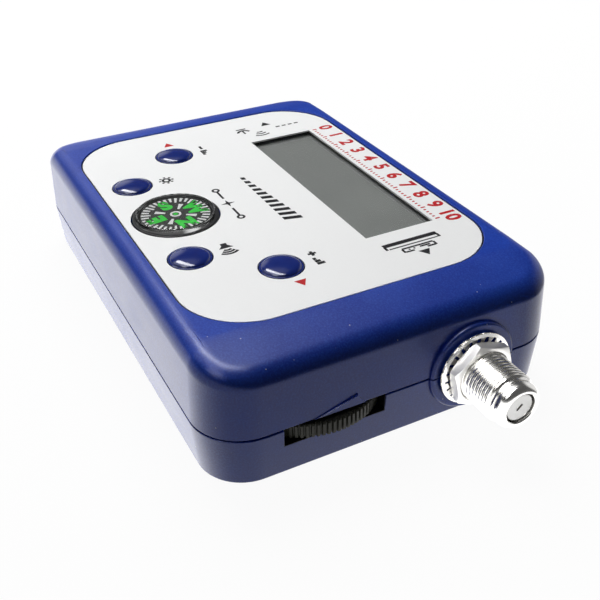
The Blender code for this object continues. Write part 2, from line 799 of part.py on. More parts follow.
def connector(name, end, shell_finish, insulator_finish, contact_finish):
    """One coaxial connector clamped through the end wall by its washer and nut."""
    place = (0.0, connector_y, parting_height)
    turn = towards(end)
    plain = thread_radius - thread_depth
    bore_end = nose_front - bore_depth
    pin_bore = contact_radius + 2 * clearance
    shell = [(pin_bore, tail_end), (tail_radius, tail_end), (tail_radius, shoulder_back),
             (shoulder_radius, shoulder_back), (shoulder_radius, shoulder_face),
             (thread_radius, shoulder_face), (thread_radius, nut_base + nut_thickness / 2)]
    shell += thread_profile()
    shell += [(plain, collar_base), (collar_radius, collar_base), (collar_radius, nose_base),
              (nose_base_radius, nose_base)]
    for step in range(nose_steps + 1):
        angle = step / nose_steps * pi / 2
        shell.append((nose_radius + (nose_base_radius - nose_radius) * cos(angle),
                      nose_front - nose_rounding * (1 - sin(angle))))
    shell += [(bore_radius, nose_front), (bore_radius, bore_end), (pin_bore, bore_end)]
    unique = [point for i, point in enumerate(shell) if i == 0 or point != shell[i - 1]]
    add("connector_shell_" + name, turned(unique, small_sides, True), shell_finish, place, turn)

    face = nose_front - insulator_recess
    front_of_pin = nose_front - contact_recess
    outer = bore_radius - clearance
    insulator = [(pin_bore, bore_end + clearance), (outer, bore_end + clearance), (outer, face),
                 (0.0, face), (0.0, face - insulator_skin), (pin_bore, face - insulator_skin)]
    plug = add("connector_insulator_" + name, turned(insulator, small_sides, True),
               insulator_finish, place, turn)
    slit = Matrix.Rotation(slit_angle, 4, "Z")
    cut(plug, block(slit_length, slit_width, face - insulator_skin - clearance, face + overrun),
        place, turn @ slit)
    pin_tail = can_length / 2 - can_wall - contact_tail
    add("connector_contact_" + name, drum(contact_radius, pin_tail, front_of_pin, tiny_sides),
        contact_finish, place, turn)

    hole = thread_radius + clearance
    outer_ring = circle(washer_radius, 2 * tooth_count)
    inner_ring = []
    for i, (x, y) in enumerate(circle(hole, 2 * tooth_count)):
        scale = 1 + (i % 2) * washer_tooth / hole
        inner_ring.append((x * scale, y * scale))
    washer_top = washer_base + washer_thickness
    add("connector_washer_" + name,
        stack([raised(outer_ring, washer_base), raised(outer_ring, washer_top),
               raised(inner_ring, washer_top), raised(inner_ring, washer_base)], True),
        shell_finish, place, turn)

    corner = nut_width / sqrt(3)
    nut_top = nut_base + nut_thickness
    # The turn of +Z onto X takes local Y to Y and local -X to Z, so a corner's angle is a
    # quarter turn more here than on the meter
    start = end * (nut_angle + pi / 2)
    nut = add("connector_nut_" + name, prism(circle(corner, 6, start), nut_base, nut_top),
              shell_finish, place, turn)
    keep(nut, turned([(0.0, nut_base), (corner + nut_chamfer, nut_base),
                      (corner + nut_chamfer, nut_top - nut_chamfer),
                      (corner - nut_chamfer, nut_top), (0.0, nut_top)], round_sides), place, turn)
    cut(nut, drum(hole, nut_base - overrun, nut_top + overrun, small_sides), place, turn)


def on_board(place):
    """The point of the board at X, and so far in from its near edge."""
    along, inset = place
    return (along, inset - board_half_y, 0.0)


def board_pieces(can_finish, dark_finish, metal_finish, sleeve_finish):
    """The screening can and the larger components."""
    can_base = hung_mount - can_height
    centre = (0.0, connector_y, 0.0)
    can = add("screening_can", block(can_length, can_width, can_base, hung_mount), can_finish,
              centre)
    cut(can, block(can_length - 2 * can_wall, can_width - 2 * can_wall, can_base + can_wall,
                   hung_mount + overrun), centre)
    for end in (-1, 1):
        hole = drum(can_hole_radius, can_length / 2 - 2 * can_wall, can_length / 2 + overrun,
                    tiny_sides)
        cut(can, hole, (0.0, connector_y, parting_height), towards(end))
    for name, share in zip(("dish", "receiver"), choke_shares):
        add("choke_" + name,
            sleeve(choke_radius, choke_bore_radius, hung_mount - choke_height, hung_mount,
                   small_sides), dark_finish, (share * can_length, connector_y, 0.0))
    add("controller_chip", block(chip_size, chip_size, hung_mount - chip_height, hung_mount),
        dark_finish, on_board(chip_place))
    crystal = rounded(crystal_length / 2, crystal_width / 2, crystal_width / 2)
    add("crystal", prism(crystal, hung_mount - crystal_height, hung_mount), metal_finish,
        on_board(crystal_place))
    base = hung_mount - capacitor_height
    can_profile = [(0.0, base), (capacitor_radius - capacitor_groove, base),
                   (capacitor_radius, base + capacitor_groove), (capacitor_radius, hung_mount),
                   (0.0, hung_mount)]
    for number, place in enumerate(capacitor_places, 1):
        add("capacitor_" + str(number), turned(can_profile, small_sides), sleeve_finish,
            on_board(place))
    sounder_top = ceiling - sounder_gap
    sounder = add("sounder", drum(sounder_radius, top_mount, sounder_top), dark_finish,
                  (*sounder_place, 0.0))
    cut(sounder, drum(sounder_hole_radius, (top_mount + sounder_top) / 2, sounder_top + overrun,
                      tiny_sides), (*sounder_place, 0.0))


def clear_scene():
    for old in list(bpy.data.objects):
        bpy.data.objects.remove(old)


def build():
    clear_scene()
    blue = material("blue_plastic", (0.022, 0.060, 0.300), 0.42)
    blue_gloss = material("button_plastic", (0.010, 0.040, 0.240), 0.16)
    print_white = material("label_plate", (0.86, 0.87, 0.87), 0.35)
    clear = material("clear_plastic", (0.90, 0.93, 0.93), 0.05, alpha=0.35)
    grey_glass = material("display_glass", (0.22, 0.24, 0.22), 0.20)
    diffuser = material("light_guide", (0.80, 0.85, 0.78), 0.50)
    black = material("black_plastic", (0.015, 0.015, 0.016), 0.45)
    rubber = material("contact_rubber", (0.05, 0.04, 0.05), 0.80)
    plated = material("plated_metal", (0.80, 0.79, 0.76), 0.20, 1.0)
    gold = material("gilt_metal", (0.85, 0.60, 0.25), 0.25, 1.0)
    tin = material("tinned_sheet", (0.70, 0.70, 0.69), 0.35, 1.0)
    steel = material("screw_steel", (0.45, 0.45, 0.46), 0.35, 1.0)
    board_green = material("board_laminate", (0.02, 0.16, 0.06), 0.40)
    insulation = material("white_insulator", (0.85, 0.85, 0.82), 0.45)

    bottom_cover(blue)
    top_cover(blue)
    label(print_white)
    display(clear, tin, grey_glass, rubber, diffuser)
    buttons(blue_gloss, black, black)
    compass(black, clear, black, steel)
    volume_control(black, black, steel)
    circuit_board(board_green)
    screws(steel)
    connector("receiver", 1, plated, insulation, gold)
    connector("dish", -1, plated, insulation, gold)
    board_pieces(tin, black, plated, black)

    for piece in bpy.data.objects:
        join_flat_faces(piece)
        piece.data.shade_smooth()
        piece.data.set_sharp_from_angle(angle=radians(32))


build()
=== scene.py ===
"""Looks of a hand-held satellite signal meter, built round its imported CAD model.

X runs along the meter towards the thumbwheel, Y across it towards the display and Z up
from the bench. All lengths are in metres. The case, the connectors and the other turned
pieces follow the rules of the CAD model, with finer steps and rounded edges.
"""
from math import cos, floor, pi, radians, sin, sqrt

import bmesh
import bpy
from mathutils import Euler, Matrix, Vector


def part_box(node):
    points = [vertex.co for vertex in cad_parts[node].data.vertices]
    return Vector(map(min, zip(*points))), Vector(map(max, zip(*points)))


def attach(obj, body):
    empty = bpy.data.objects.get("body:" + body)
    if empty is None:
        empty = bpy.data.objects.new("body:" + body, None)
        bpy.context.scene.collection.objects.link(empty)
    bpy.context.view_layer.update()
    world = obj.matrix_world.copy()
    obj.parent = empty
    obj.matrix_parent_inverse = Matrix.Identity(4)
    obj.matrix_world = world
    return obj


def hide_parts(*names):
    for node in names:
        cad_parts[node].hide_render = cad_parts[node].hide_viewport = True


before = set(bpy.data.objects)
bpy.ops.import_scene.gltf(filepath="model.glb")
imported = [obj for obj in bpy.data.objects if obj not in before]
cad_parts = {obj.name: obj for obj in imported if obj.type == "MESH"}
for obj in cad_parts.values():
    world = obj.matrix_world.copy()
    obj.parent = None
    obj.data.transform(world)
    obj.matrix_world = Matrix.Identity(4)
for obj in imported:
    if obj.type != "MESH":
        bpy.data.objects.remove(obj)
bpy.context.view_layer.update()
mm = 0.001

# Case: rules shared with the CAD model
corner_radius = 9.1 * mm
base_draft = 0.7 * mm
top_draft = 0.43 * mm
base_edge = 0.5 * mm
edge_width = 3.2 * mm
edge_height = 3.0 * mm
end_fall = 2.4 * mm
side_fall = 0.4 * mm
fall_power = 1.4
wall_thickness = 2.2 * mm
floor_thickness = 2.0 * mm
face_thickness = 1.8 * mm
inner_draft = 0.4 * mm
ceiling_round = 2.2 * mm
tongue_thickness = 0.9 * mm
tongue_height = 1.2 * mm
clearance = 0.3 * mm
slide_clearance = 0.35 * mm
boss_height = 0.6 * mm
boss_radius = 8.6 * mm
boss_edge = 0.5 * mm
label_radius = 12.45 * mm
column_radius = 2.9 * mm
column_foot_radius = 3.8 * mm
column_foot_height = 2.0 * mm
column_drop = 0.7 * mm
post_radius = 2.4 * mm
well_wall = 1.35 * mm
window_lap = 1.2 * mm
window_step = 0.2 * mm
slot_width = 18.9 * mm
wedge_offset = 4.05 * mm
wedge_length = 9.4 * mm
wedge_height = 2.2 * mm
wedge_slant = 1.4 * mm
wedge_relief = 0.3 * mm
wedge_steps = 4
overrun = 2.0 * mm
# Thickness of the black strips of painted shade in the wheel's slot and the seam
shade_strip_thickness = 0.08 * mm
weld = 0.0002 * mm

# Case: fine edges
lip_round = 0.15 * mm
recess_round = 0.10 * mm
label_bevel = 0.08 * mm
# The black strip in the gap round the label is painted shade
gap_shade_clearance = 0.02 * mm
gap_shade_lift = 0.05 * mm
gap_shade_rise = 0.22 * mm

# Places read from the CAD model
label_low, label_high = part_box("faceplate_label")
lower_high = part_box("bottom_cover")[1]
upper_low, upper_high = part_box("top_cover")
pane_low, pane_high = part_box("display_window")
cup_low, cup_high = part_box("compass_cup")
lens_low, lens_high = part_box("compass_lens")
card_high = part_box("compass_card")[1]
wheel_low, wheel_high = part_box("thumbwheel")
board_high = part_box("circuit_board")[1]
shell_low, shell_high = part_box("connector_shell_receiver")
nut_low, nut_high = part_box("connector_nut_receiver")
washer_low, washer_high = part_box("connector_washer_receiver")
plug_low, plug_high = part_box("connector_insulator_receiver")
half_width = lower_high.y
half_length = lower_high.x - boss_height
half_gap = clearance / 2
parting = upper_low.z - half_gap
lower_top = parting - half_gap
upper_base = parting + half_gap
rim_height = upper_high.z
label_top = label_high.z
label_base = label_low.z
recess_floor = label_base - clearance
ceiling = recess_floor - face_thickness
recess_half_x = label_high.x + clearance
recess_half_y = label_high.y + clearance
window_y = (pane_low.y + pane_high.y) / 2
window_half_x = pane_high.x - window_lap
window_half_y = (pane_high.y - pane_low.y) / 2 - window_lap
pane_half_y = window_half_y + window_lap
compass_y = (cup_low.y + cup_high.y) / 2
compass_radius = cup_high.x
connector_y = (shell_low.y + shell_high.y) / 2
wheel_y = (wheel_low.y + wheel_high.y) / 2
wheel_radius = (wheel_high.y - wheel_low.y) / 2
wheel_x = wheel_high.x - wheel_radius
wheel_base = wheel_low.z
rebate = wall_thickness - tongue_thickness - clearance
window_place = (0.0, window_y, 0.0)
compass_place = (0.0, compass_y, 0.0)
wheel_place = (wheel_x, wheel_y, 0.0)
slot_sill = wheel_base - clearance
# Outlines: half length, half width and radius of the corners
CASE = (half_length, half_width, corner_radius)
LABEL = (label_high.x, label_high.y, label_radius)
RECESS = (recess_half_x, recess_half_y, label_radius + clearance)
CORNERS = ("left_near", "left_far", "right_near", "right_far")
BUTTONS = ("attenuator_left", "attenuator_right", "light", "sound")
CONNECTORS = {"receiver": 1, "dish": -1}

# Steps of curves
corner_steps = 18
side_steps = 14
edge_steps = 12
border_steps = 12
base_steps = 5
lip_steps = 4
bevel_steps = 3
fillet_steps = 6
collar_steps = 3
plug_steps = 4
text_steps = 3
round_sides = 96
small_sides = 48


def centre_of(node):
    """The point of the bench under the middle of a CAD node."""
    low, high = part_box(node)
    return ((low.x + high.x) / 2, (low.y + high.y) / 2, 0.0)


def quarter(steps, first=0):
    """Sine and cosine at the steps of a quarter turn, from one of them on."""
    angles = [step / steps * pi / 2 for step in range(first, steps + 1)]
    return [(sin(angle), cos(angle)) for angle in angles]


# Meshes

def rounded(half_x, half_y, radius, corner=corner_steps, side=side_steps):
    """A rectangle with round corners, anticlockwise, with points along its sides too."""
    arcs = []
    for turns, (sx, sy) in enumerate(((1, 1), (-1, 1), (-1, -1), (1, -1))):
        centre = Vector((sx * (half_x - radius), sy * (half_y - radius)))
        angles = [(turns + step / corner) * pi / 2 for step in range(corner + 1)]
        arcs.append([centre + radius * Vector((cos(a), sin(a))) for a in angles])
    points = []
    for arc, following in zip(arcs, arcs[1:] + arcs[:1]):
        points += arc
        points += [arc[-1].lerp(following[0], step / side) for step in range(1, side)]
    return [tuple(point) for point in points]


def drawn_in(outline, inset=0.0):
    return rounded(*(value - inset for value in outline))


def circle(radius, sides=round_sides, start=0.0):
    angles = [start + 2 * pi * i / sides for i in range(sides)]
    return [(radius * cos(a), radius * sin(a)) for a in angles]


def raised(points, height):
    return [(x, y, height) for x, y in points]


def stack(rings, closed=False):
    """A body through rings, each a point or equally many points; its end rings are filled."""
    bm = bmesh.new()
    loops = [[bm.verts.new(point) for point in ring] for ring in rings]
    pairs = list(zip(loops, loops[1:]))
    if closed:
        pairs.append((loops[-1], loops[0]))
    else:
        for loop in (loops[0], loops[-1]):
            if len(loop) > 1:
                bm.faces.new(loop)
    for low, high in pairs:
        sides = max(len(low), len(high))
        if sides == 1:
            continue
        for i in range(sides):
            j = (i + 1) % sides
            around = (low[i % len(low)], low[j % len(low)],
                      high[j % len(high)], high[i % len(high)])
            bm.faces.new(list(dict.fromkeys(around)))
    bmesh.ops.recalc_face_normals(bm, faces=bm.faces)
    return bm


def prism(points, base, top):
    return stack([raised(points, base), raised(points, top)])


def block(half_x, half_y, base, top):
    corners = [(half_x, half_y), (-half_x, half_y), (-half_x, -half_y), (half_x, -half_y)]
    return prism(corners, base, top)


def turned(profile, sides=round_sides, closed=False):
    """A body turned about Z from (radius, height) points; a radius of 0 is a point."""
    return stack([raised(circle(radius, sides) if radius else [(0.0, 0.0)], height)
                  for radius, height in profile], closed)


def drum(radius, base, top, sides=round_sides):
    return turned([(0.0, base), (radius, base), (radius, top), (0.0, top)], sides)


def fillet(radius, height, curve, first, last, steps=fillet_steps):
    """Points of a round edge of a turned profile about (radius, height), in degrees."""
    points = []
    for step in range(steps + 1):
        angle = radians(first + (last - first) * step / steps)
        points.append((radius + curve * cos(angle), height + curve * sin(angle)))
    return points


def brow(radius, height, curve, steps=fillet_steps):
    """Points of the round upper edge of a turned profile with its corner at (radius, height)."""
    return fillet(radius - curve, height - curve, curve, 0, 90, steps)


def spin(angle):
    return Matrix.Rotation(angle, 4, "Z")


def placed(bm, place=(0.0, 0.0, 0.0), turn=Matrix()):
    bmesh.ops.transform(bm, matrix=Matrix.Translation(place) @ turn, verts=bm.verts)
    return bm


def at_end(bm, end, turn=Matrix()):
    """Brings a mesh from the Z axis to the connectors', its top to +X for end 1, -X for -1."""
    outwards = Matrix.Rotation(end * pi / 2, 4, "Y")
    return placed(bm, (0.0, connector_y, parting), outwards @ turn)


def bare(name, bm):
    """An object from a mesh, in place but on no body yet, its faces turned outwards."""
    bmesh.ops.recalc_face_normals(bm, faces=bm.faces)
    if bm.calc_volume(signed=True) < 0:
        bmesh.ops.reverse_faces(bm, faces=bm.faces)
    mesh = bpy.data.meshes.new(name)
    bm.to_mesh(mesh)
    bm.free()
    made = bpy.data.objects.new(name, mesh)
    bpy.context.scene.collection.objects.link(made)
    return made


def settle(mesh):
    """Merge the corners that all but meet and split the faces into flat triangles."""
    bm = bmesh.new()
    bm.from_mesh(mesh)
    bmesh.ops.remove_doubles(bm, verts=bm.verts, dist=weld)
    bmesh.ops.dissolve_degenerate(bm, dist=weld / 2, edges=bm.edges)
    bmesh.ops.triangulate(bm, faces=bm.faces)
    bm.to_mesh(mesh)
    bm.free()


def combine(target, tool, operation):
    """Join, cut or keep an object with a second one, which is used up."""
    settle(target.data)
    settle(tool.data)
    modifier = target.modifiers.new(operation, "BOOLEAN")
    modifier.operation = operation
    modifier.solver = "EXACT"
    modifier.object = tool
    bpy.context.view_layer.update()
    graph = bpy.context.evaluated_depsgraph_get()
    result = bpy.data.meshes.new_from_object(target.evaluated_get(graph))
    result.name = target.name
    settle(result)
    target.modifiers.clear()
    target.data = result
    bpy.data.objects.remove(tool)


def join(target, bm):
    combine(target, bare("joined", bm), "UNION")


def cut(target, bm):
    combine(target, bare("cutter", bm), "DIFFERENCE")


def drill(target, radius, base, top, place, sides=round_sides):
    cut(target, placed(drum(radius, base, top, sides), place))


def keep(target, bm):
    combine(target, bare("kept", bm), "INTERSECT")


def merged(*meshes):
    """Several meshes as one."""
    total = bmesh.new()
    for bm in meshes:
        part = bpy.data.meshes.new("part")
        bm.to_mesh(part)
        bm.free()
        total.from_mesh(part)
        bpy.data.meshes.remove(part)
    return total


def coat(made, finish):
    made.data.materials.clear()
    made.data.materials.append(finish)


def dress(made, finish, body="case", nodes=(), slot=None, sharp=35):
    """Gives a piece its finish and its body, and hides the CAD nodes that it stands for."""
    coat(made, finish)
    made.data.shade_smooth()
    made.data.set_sharp_from_angle(angle=radians(sharp))
    evener = made.modifiers.new("even shading", "WEIGHTED_NORMAL")
    evener.keep_sharp = True
    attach(made, body)
    if nodes:
        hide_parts(*nodes)
    return made


def piece(name, bm, finish, body="case", **settings):
    return dress(bare(name, bm), finish, body, **settings)


# Materials

class Nodes:
    """Adds nodes to a shader tree."""

    def __init__(self, tree):
        self.tree = tree

    def node(self, kind, **settings):
        made = self.tree.nodes.new(kind)
        for setting, value in settings.items():
            setattr(made, setting, value)
        return made

    def link(self, source, socket):
        self.tree.links.new(source, socket)

    def calculate(self, operation, first, second):
        made = self.node("ShaderNodeMath", operation=operation)
        for socket, value in zip(made.inputs, (first, second)):
            if isinstance(value, (int, float)):
                socket.default_value = value
            else:
                self.link(value, socket)
        return made.outputs[0]

    def spread(self, value, low, high, start, end, **settings):
        """Maps low..high of a value to start..end, and holds it there beyond."""
        made = self.node("ShaderNodeMapRange", **settings)
        for socket, number in zip(made.inputs[1:5], (low, high, start, end)):
            socket.default_value = number
        self.link(value, made.inputs[0])
        return made.outputs[0]


class Finish(Nodes):
    """One procedural material, in the object's own coordinates.

    A field is a value from 0 to 1, or the size, detail and stretch of a noise that gives one.
    """

    def __init__(self, name, colour, metallic=0.0, **sockets):
        self.material = bpy.data.materials.new(name)
        self.material.use_nodes = True
        super().__init__(self.material.node_tree)
        self.shader = self.tree.nodes["Principled BSDF"].inputs
        self.shader["Metallic"].default_value = metallic
        for socket, value in sockets.items():
            self.shader[socket.replace("_", " ")].default_value = value
        self.place = self.node("ShaderNodeTexCoord").outputs["Object"]
        self.colour = self.node("ShaderNodeRGB").outputs[0]
        self.colour.default_value = (*colour, 1.0)

    def noise(self, size, detail=2.0, stretch=None):
        """Soft noise with features of about this size, from 0 to 1."""
        place = self.place
        if stretch:
            scaled = self.node("ShaderNodeMapping")
            scaled.inputs["Scale"].default_value = stretch
            self.link(place, scaled.inputs["Vector"])
            place = scaled.outputs[0]
        made = self.node("ShaderNodeTexNoise")
        made.inputs["Scale"].default_value = 1.0 / size
        made.inputs["Detail"].default_value = detail
        self.link(place, made.inputs["Vector"])
        return made.outputs[0]

    def value(self, field):
        return self.noise(*field) if isinstance(field, tuple) else field

    def tint(self, amount, colour):
        """Lays a colour over what is there, by an amount from 0 to 1."""
        made = self.node("ShaderNodeMix", data_type="RGBA")
        self.link(amount, made.inputs[0])
        self.link(self.colour, made.inputs[6])
        made.inputs[7].default_value = (*colour, 1.0)
        self.colour = made.outputs[2]

    def cloud(self, field, low, high, strength, colour):
        """Lays a colour on where a field rises from low to high, up to a strength."""
        self.tint(self.spread(self.value(field), low, high, 0.0, strength), colour)

    def specks(self, cell, radius, share, strength, colour):
        """Sparse round dots, one in a share of the cells, up to a strength."""
        made = self.node("ShaderNodeTexVoronoi")
        made.inputs["Scale"].default_value = 1.0 / cell
        self.link(self.place, made.inputs["Vector"])
        dot = self.spread(made.outputs["Distance"], radius / cell, radius / cell / 2, 0.0, strength)
        parts = self.node("ShaderNodeSeparateColor")
        self.link(made.outputs["Color"], parts.inputs[0])
        chosen = self.calculate("LESS_THAN", parts.outputs[0], share)
        self.tint(self.calculate("MULTIPLY", dot, chosen), colour)

    def blend(self, first, second, share):
        """A share of one field and the rest of another."""
        part = self.calculate("MULTIPLY", self.value(first), share)
        rest = self.calculate("MULTIPLY", self.value(second), 1 - share)
        return self.calculate("ADD", part, rest)

    def rough(self, field, low, high):
        """Lets the roughness follow a field."""
        self.link(self.spread(self.value(field), 0.0, 1.0, low, high), self.shader["Roughness"])

    def relief(self, field, depth):
        """A bump of this depth in metres."""
        bump = self.node("ShaderNodeBump")
        bump.inputs["Strength"].default_value = 1.0
        bump.inputs["Distance"].default_value = 1.0
        self.link(self.calculate("MULTIPLY", self.value(field), depth), bump.inputs["Height"])
        self.link(bump.outputs[0], self.shader["Normal"])

    def done(self):
        self.link(self.colour, self.shader["Base Color"])
        return self.material


DUST = (0.55, 0.58, 0.66)


def case_plastic():
    """Spark-eroded blue plastic with faint flow marks and a little dust."""
    finish = Finish("case_plastic", (0.003, 0.028, 0.290), Specular_IOR_Level=0.30)
    clouds = (9 * mm, 3.0)
    grain = (0.30 * mm, 3.0)
    finish.cloud(clouds, 0.35, 0.75, 0.7, (0.005, 0.045, 0.370))
    finish.cloud(grain, 0.42, 0.72, 0.5, (0.022, 0.090, 0.520))
    finish.rough(finish.blend(clouds, (1.0, 4.0, (90.0, 600.0, 600.0)), 0.6), 0.25, 0.37)
    finish.relief(grain, 0.012 * mm)
    finish.specks(1.3 * mm, 0.14 * mm, 0.10, 0.8, DUST)
    finish.specks(0.8 * mm, 0.06 * mm, 0.12, 0.35, DUST)
    return finish.done()


def button_plastic():
    """Polished deep blue caps."""
    finish = Finish("button_plastic", (0.004, 0.016, 0.160), Specular_IOR_Level=0.35,
                    Coat_Weight=0.2, Coat_Roughness=0.05)
    finish.cloud((3 * mm, 2.0), 0.3, 0.8, 0.6, (0.006, 0.026, 0.210))
    finish.rough((0.6 * mm, 4.0), 0.06, 0.17)
    finish.relief((1.6 * mm, 1.0), 0.004 * mm)
    finish.specks(0.9 * mm, 0.035 * mm, 0.15, 0.4, DUST)
    return finish.done()


def label_plate():
    """Off-white printed foil with the faint orange-peel of lacquer."""
    finish = Finish("label_plate", (0.855, 0.862, 0.862), Coat_Weight=0.15, Coat_Roughness=0.25)
    finish.cloud((14 * mm, 2.0), 0.4, 0.8, 0.5, (0.835, 0.838, 0.842))
    finish.cloud((0.25 * mm, 2.0), 0.5, 0.8, 0.35, (0.80, 0.80, 0.80))
    finish.rough((2 * mm, 3.0), 0.34, 0.50)
    finish.relief((0.5 * mm, 2.0), 0.003 * mm)
    finish.specks(5 * mm, 0.08 * mm, 0.25, 0.5, (0.25, 0.25, 0.27))
    return finish.done()


def ink(name, colour, faded):
    """Screen-printed ink, a little uneven."""
    finish = Finish(name, colour, Specular_IOR_Level=0.2)
    finish.cloud((0.3 * mm, 3.0), 0.45, 0.75, 0.6, faded)
    finish.rough((0.8 * mm, 2.0), 0.30, 0.52)
    return finish.done()


def clear_plastic(name, roughness):
    """Clear plastic with faint haze."""
    finish = Finish(name, (0.97, 0.985, 0.98), IOR=1.49, Transmission_Weight=1.0)
    finish.cloud((6 * mm, 2.0), 0.4, 0.8, 0.5, (0.93, 0.96, 0.95))
    finish.rough((1.2 * mm, 4.0), roughness * 0.5, roughness * 1.5)
    return finish.done()


def display_film():
    """The grey polarising film of a liquid crystal display that is switched off."""
    finish = Finish("display_film", (0.150, 0.156, 0.151))
    finish.cloud((16 * mm, 1.0), 0.35, 0.7, 0.7, (0.190, 0.198, 0.190))
    finish.cloud((1.0, 2.0, (900.0, 5000.0, 900.0)), 0.4, 0.8, 0.25, (0.23, 0.24, 0.23))
    finish.rough((0.7 * mm, 3.0), 0.26, 0.42)
    return finish.done()


def display_glass():
    """The glass of the display, out of sight behind the film."""
    finish = Finish("display_glass", (0.150, 0.165, 0.140))
    finish.cloud((5 * mm, 2.0), 0.4, 0.8, 0.5, (0.19, 0.20, 0.17))
    finish.rough((1 * mm, 2.0), 0.06, 0.16)
    return finish.done()


def nickel(name, colour, low, high):
    """Bright plating with turning marks round the connector's axis and small pits."""
    finish = Finish(name, colour, metallic=1.0)
    marks = (1.0, 3.0, (9000.0, 500.0, 500.0))
    clouds = (1.4 * mm, 3.0)
    finish.cloud(clouds, 0.45, 0.8, 0.5, tuple(0.86 * c for c in colour))
    finish.rough(finish.blend(marks, clouds, 0.5), low, high)
    finish.relief(marks, 0.004 * mm)
    finish.specks(0.5 * mm, 0.03 * mm, 0.2, 0.6, (0.30, 0.29, 0.27))
    return finish.done()


def sheet_metal(name, colour):
    """Tinned or bare sheet with rolling marks along X."""
    finish = Finish(name, colour, metallic=1.0)
    marks = (1.0, 3.0, (150.0, 6000.0, 6000.0))
    finish.cloud(marks, 0.35, 0.75, 0.4, tuple(0.8 * c for c in colour))
    finish.rough(marks, 0.25, 0.48)
    finish.relief(marks, 0.003 * mm)
    return finish.done()


def moulded(name, colour, low, high, metallic=0.0, specular=0.5):
    """Plain moulded plastic or rubber with a fine grain."""
    finish = Finish(name, colour, metallic, Specular_IOR_Level=specular)
    paler = tuple(min(1.4 * c + 0.004, 1.0) for c in colour)
    grain = (0.25 * mm, 2.0)
    finish.cloud((3 * mm, 3.0), 0.4, 0.8, 0.7, paler)
    finish.rough(grain, low, high)
    finish.relief(grain, 0.008 * mm)
    finish.specks(1.2 * mm, 0.05 * mm, 0.15, 0.35, DUST)
    return finish.done()


def board_laminate():
    """Green lacquer over a net of tracks, with bright pads."""
    finish = Finish("board_laminate", (0.012, 0.105, 0.040), Coat_Weight=0.4)
    bricks = finish.node("ShaderNodeTexBrick")
    for socket, value in (("Scale", 1.0 / (6 * mm)), ("Color1", (0.0, 0.0, 0.0, 1.0)),
                          ("Color2", (0.0, 0.0, 0.0, 1.0)), ("Mortar", (1.0, 1.0, 1.0, 1.0)),
                          ("Mortar Size", 0.035)):
        bricks.inputs[socket].default_value = value
    finish.link(finish.place, bricks.inputs["Vector"])
    tracks = bricks.outputs[0]
    finish.tint(tracks, (0.020, 0.190, 0.075))
    finish.specks(2.5 * mm, 0.5 * mm, 0.25, 1.0, (0.62, 0.60, 0.55))
    finish.rough((2 * mm, 2.0), 0.22, 0.38)
    finish.relief(tracks, 0.02 * mm)
    return finish.done()


case_blue = case_plastic()
button_blue = button_plastic()
foil = label_plate()
black_ink = ink("black_ink", (0.006, 0.006, 0.008), (0.022, 0.022, 0.026))
red_ink = ink("red_ink", (0.46, 0.004, 0.009), (0.52, 0.020, 0.025))
white_ink = ink("white_ink", (0.80, 0.80, 0.80), (0.62, 0.62, 0.62))
green_ink = ink("green_ink", (0.004, 0.56, 0.020), (0.012, 0.70, 0.045))
pane_clear = clear_plastic("pane_clear", 0.05)
lens_clear = clear_plastic("lens_clear", 0.015)
film = display_film()
plating = nickel("plated_metal", (0.82, 0.81, 0.79), 0.09, 0.26)
dull_plating = nickel("dull_plating", (0.84, 0.83, 0.81), 0.30, 0.50)
brass = nickel("contact_metal", (0.78, 0.60, 0.30), 0.15, 0.32)
steel = sheet_metal("screw_steel", (0.52, 0.52, 0.53))
tin = sheet_metal("tinned_sheet", (0.68, 0.68, 0.67))
black = moulded("black_plastic", (0.006, 0.006, 0.007), 0.24, 0.42, specular=0.35)
wheel_black = moulded("wheel_plastic", (0.014, 0.014, 0.009), 0.38, 0.58, specular=0.22)
card_black = moulded("compass_card", (0.004, 0.004, 0.004), 0.45, 0.65, specular=0.2)
rubber = moulded("contact_rubber", (0.045, 0.040, 0.045), 0.65, 0.85)
white_plastic = moulded("insulator_plastic", (0.84, 0.84, 0.82), 0.28, 0.45, metallic=0.45)
guide = moulded("light_guide", (0.72, 0.78, 0.70), 0.30, 0.45)

# Each finish with the starts of the names of its CAD nodes, of which the first that fits counts
NODE_FINISHES = {
    steel: "board_screw case_screw compass_magnet compass_pivot thumbwheel_axle",
    case_blue: "bottom_cover top_cover", foil: "faceplate_label", button_blue: "button",
    black: "plunger switch capacitor choke compass_cup controller_chip sounder volume_control",
    board_laminate(): "circuit_board", card_black: "compass_card", lens_clear: "compass_lens",
    brass: "connector_contact", white_plastic: "connector_insulator", guide: "display_backlight",
    plating: "connector_nut connector_shell connector_washer crystal", rubber: "display_contact",
    tin: "display_bezel screening_can", display_glass(): "display_glass",
    pane_clear: "display_window", wheel_black: "thumbwheel"}

for node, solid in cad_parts.items():
    coat(solid, next(finish for finish, starts in NODE_FINISHES.items()
                     if node.startswith(tuple(starts.split()))))


# Case

def fall(x, y):
    """How far the sloping border lies below the flat middle of the face."""
    along = (abs(x) - recess_half_x) / (half_length - recess_half_x)
    across = (abs(y) - recess_half_y) / (half_width - recess_half_y)
    along = min(max(along, 0.0), 1.0)
    across = min(max(across, 0.0), 1.0)
    return end_fall * along ** fall_power + side_fall * across ** fall_power


def body_ring(inset, height, sloped=False):
    """The case's outline drawn in by inset; a sloped ring follows the border down."""
    points = drawn_in(CASE, inset)
    share = (height - parting) / (rim_height - parting) if sloped else 0.0
    return [(x, y, height - share * fall(x, y)) for x, y in points]


def border_rings():
    """From the inner side of the rounded edge to the recess for the label."""
    outer = drawn_in(CASE, top_draft + edge_width)
    inner = drawn_in(RECESS, -recess_round)
    rings = []
    for step in range(1, border_steps + 1):
        points = [Vector(a).lerp(Vector(b), step / border_steps) for a, b in zip(outer, inner)]
        rings.append([(x, y, rim_height - fall(x, y)) for x, y in points])
    return rings


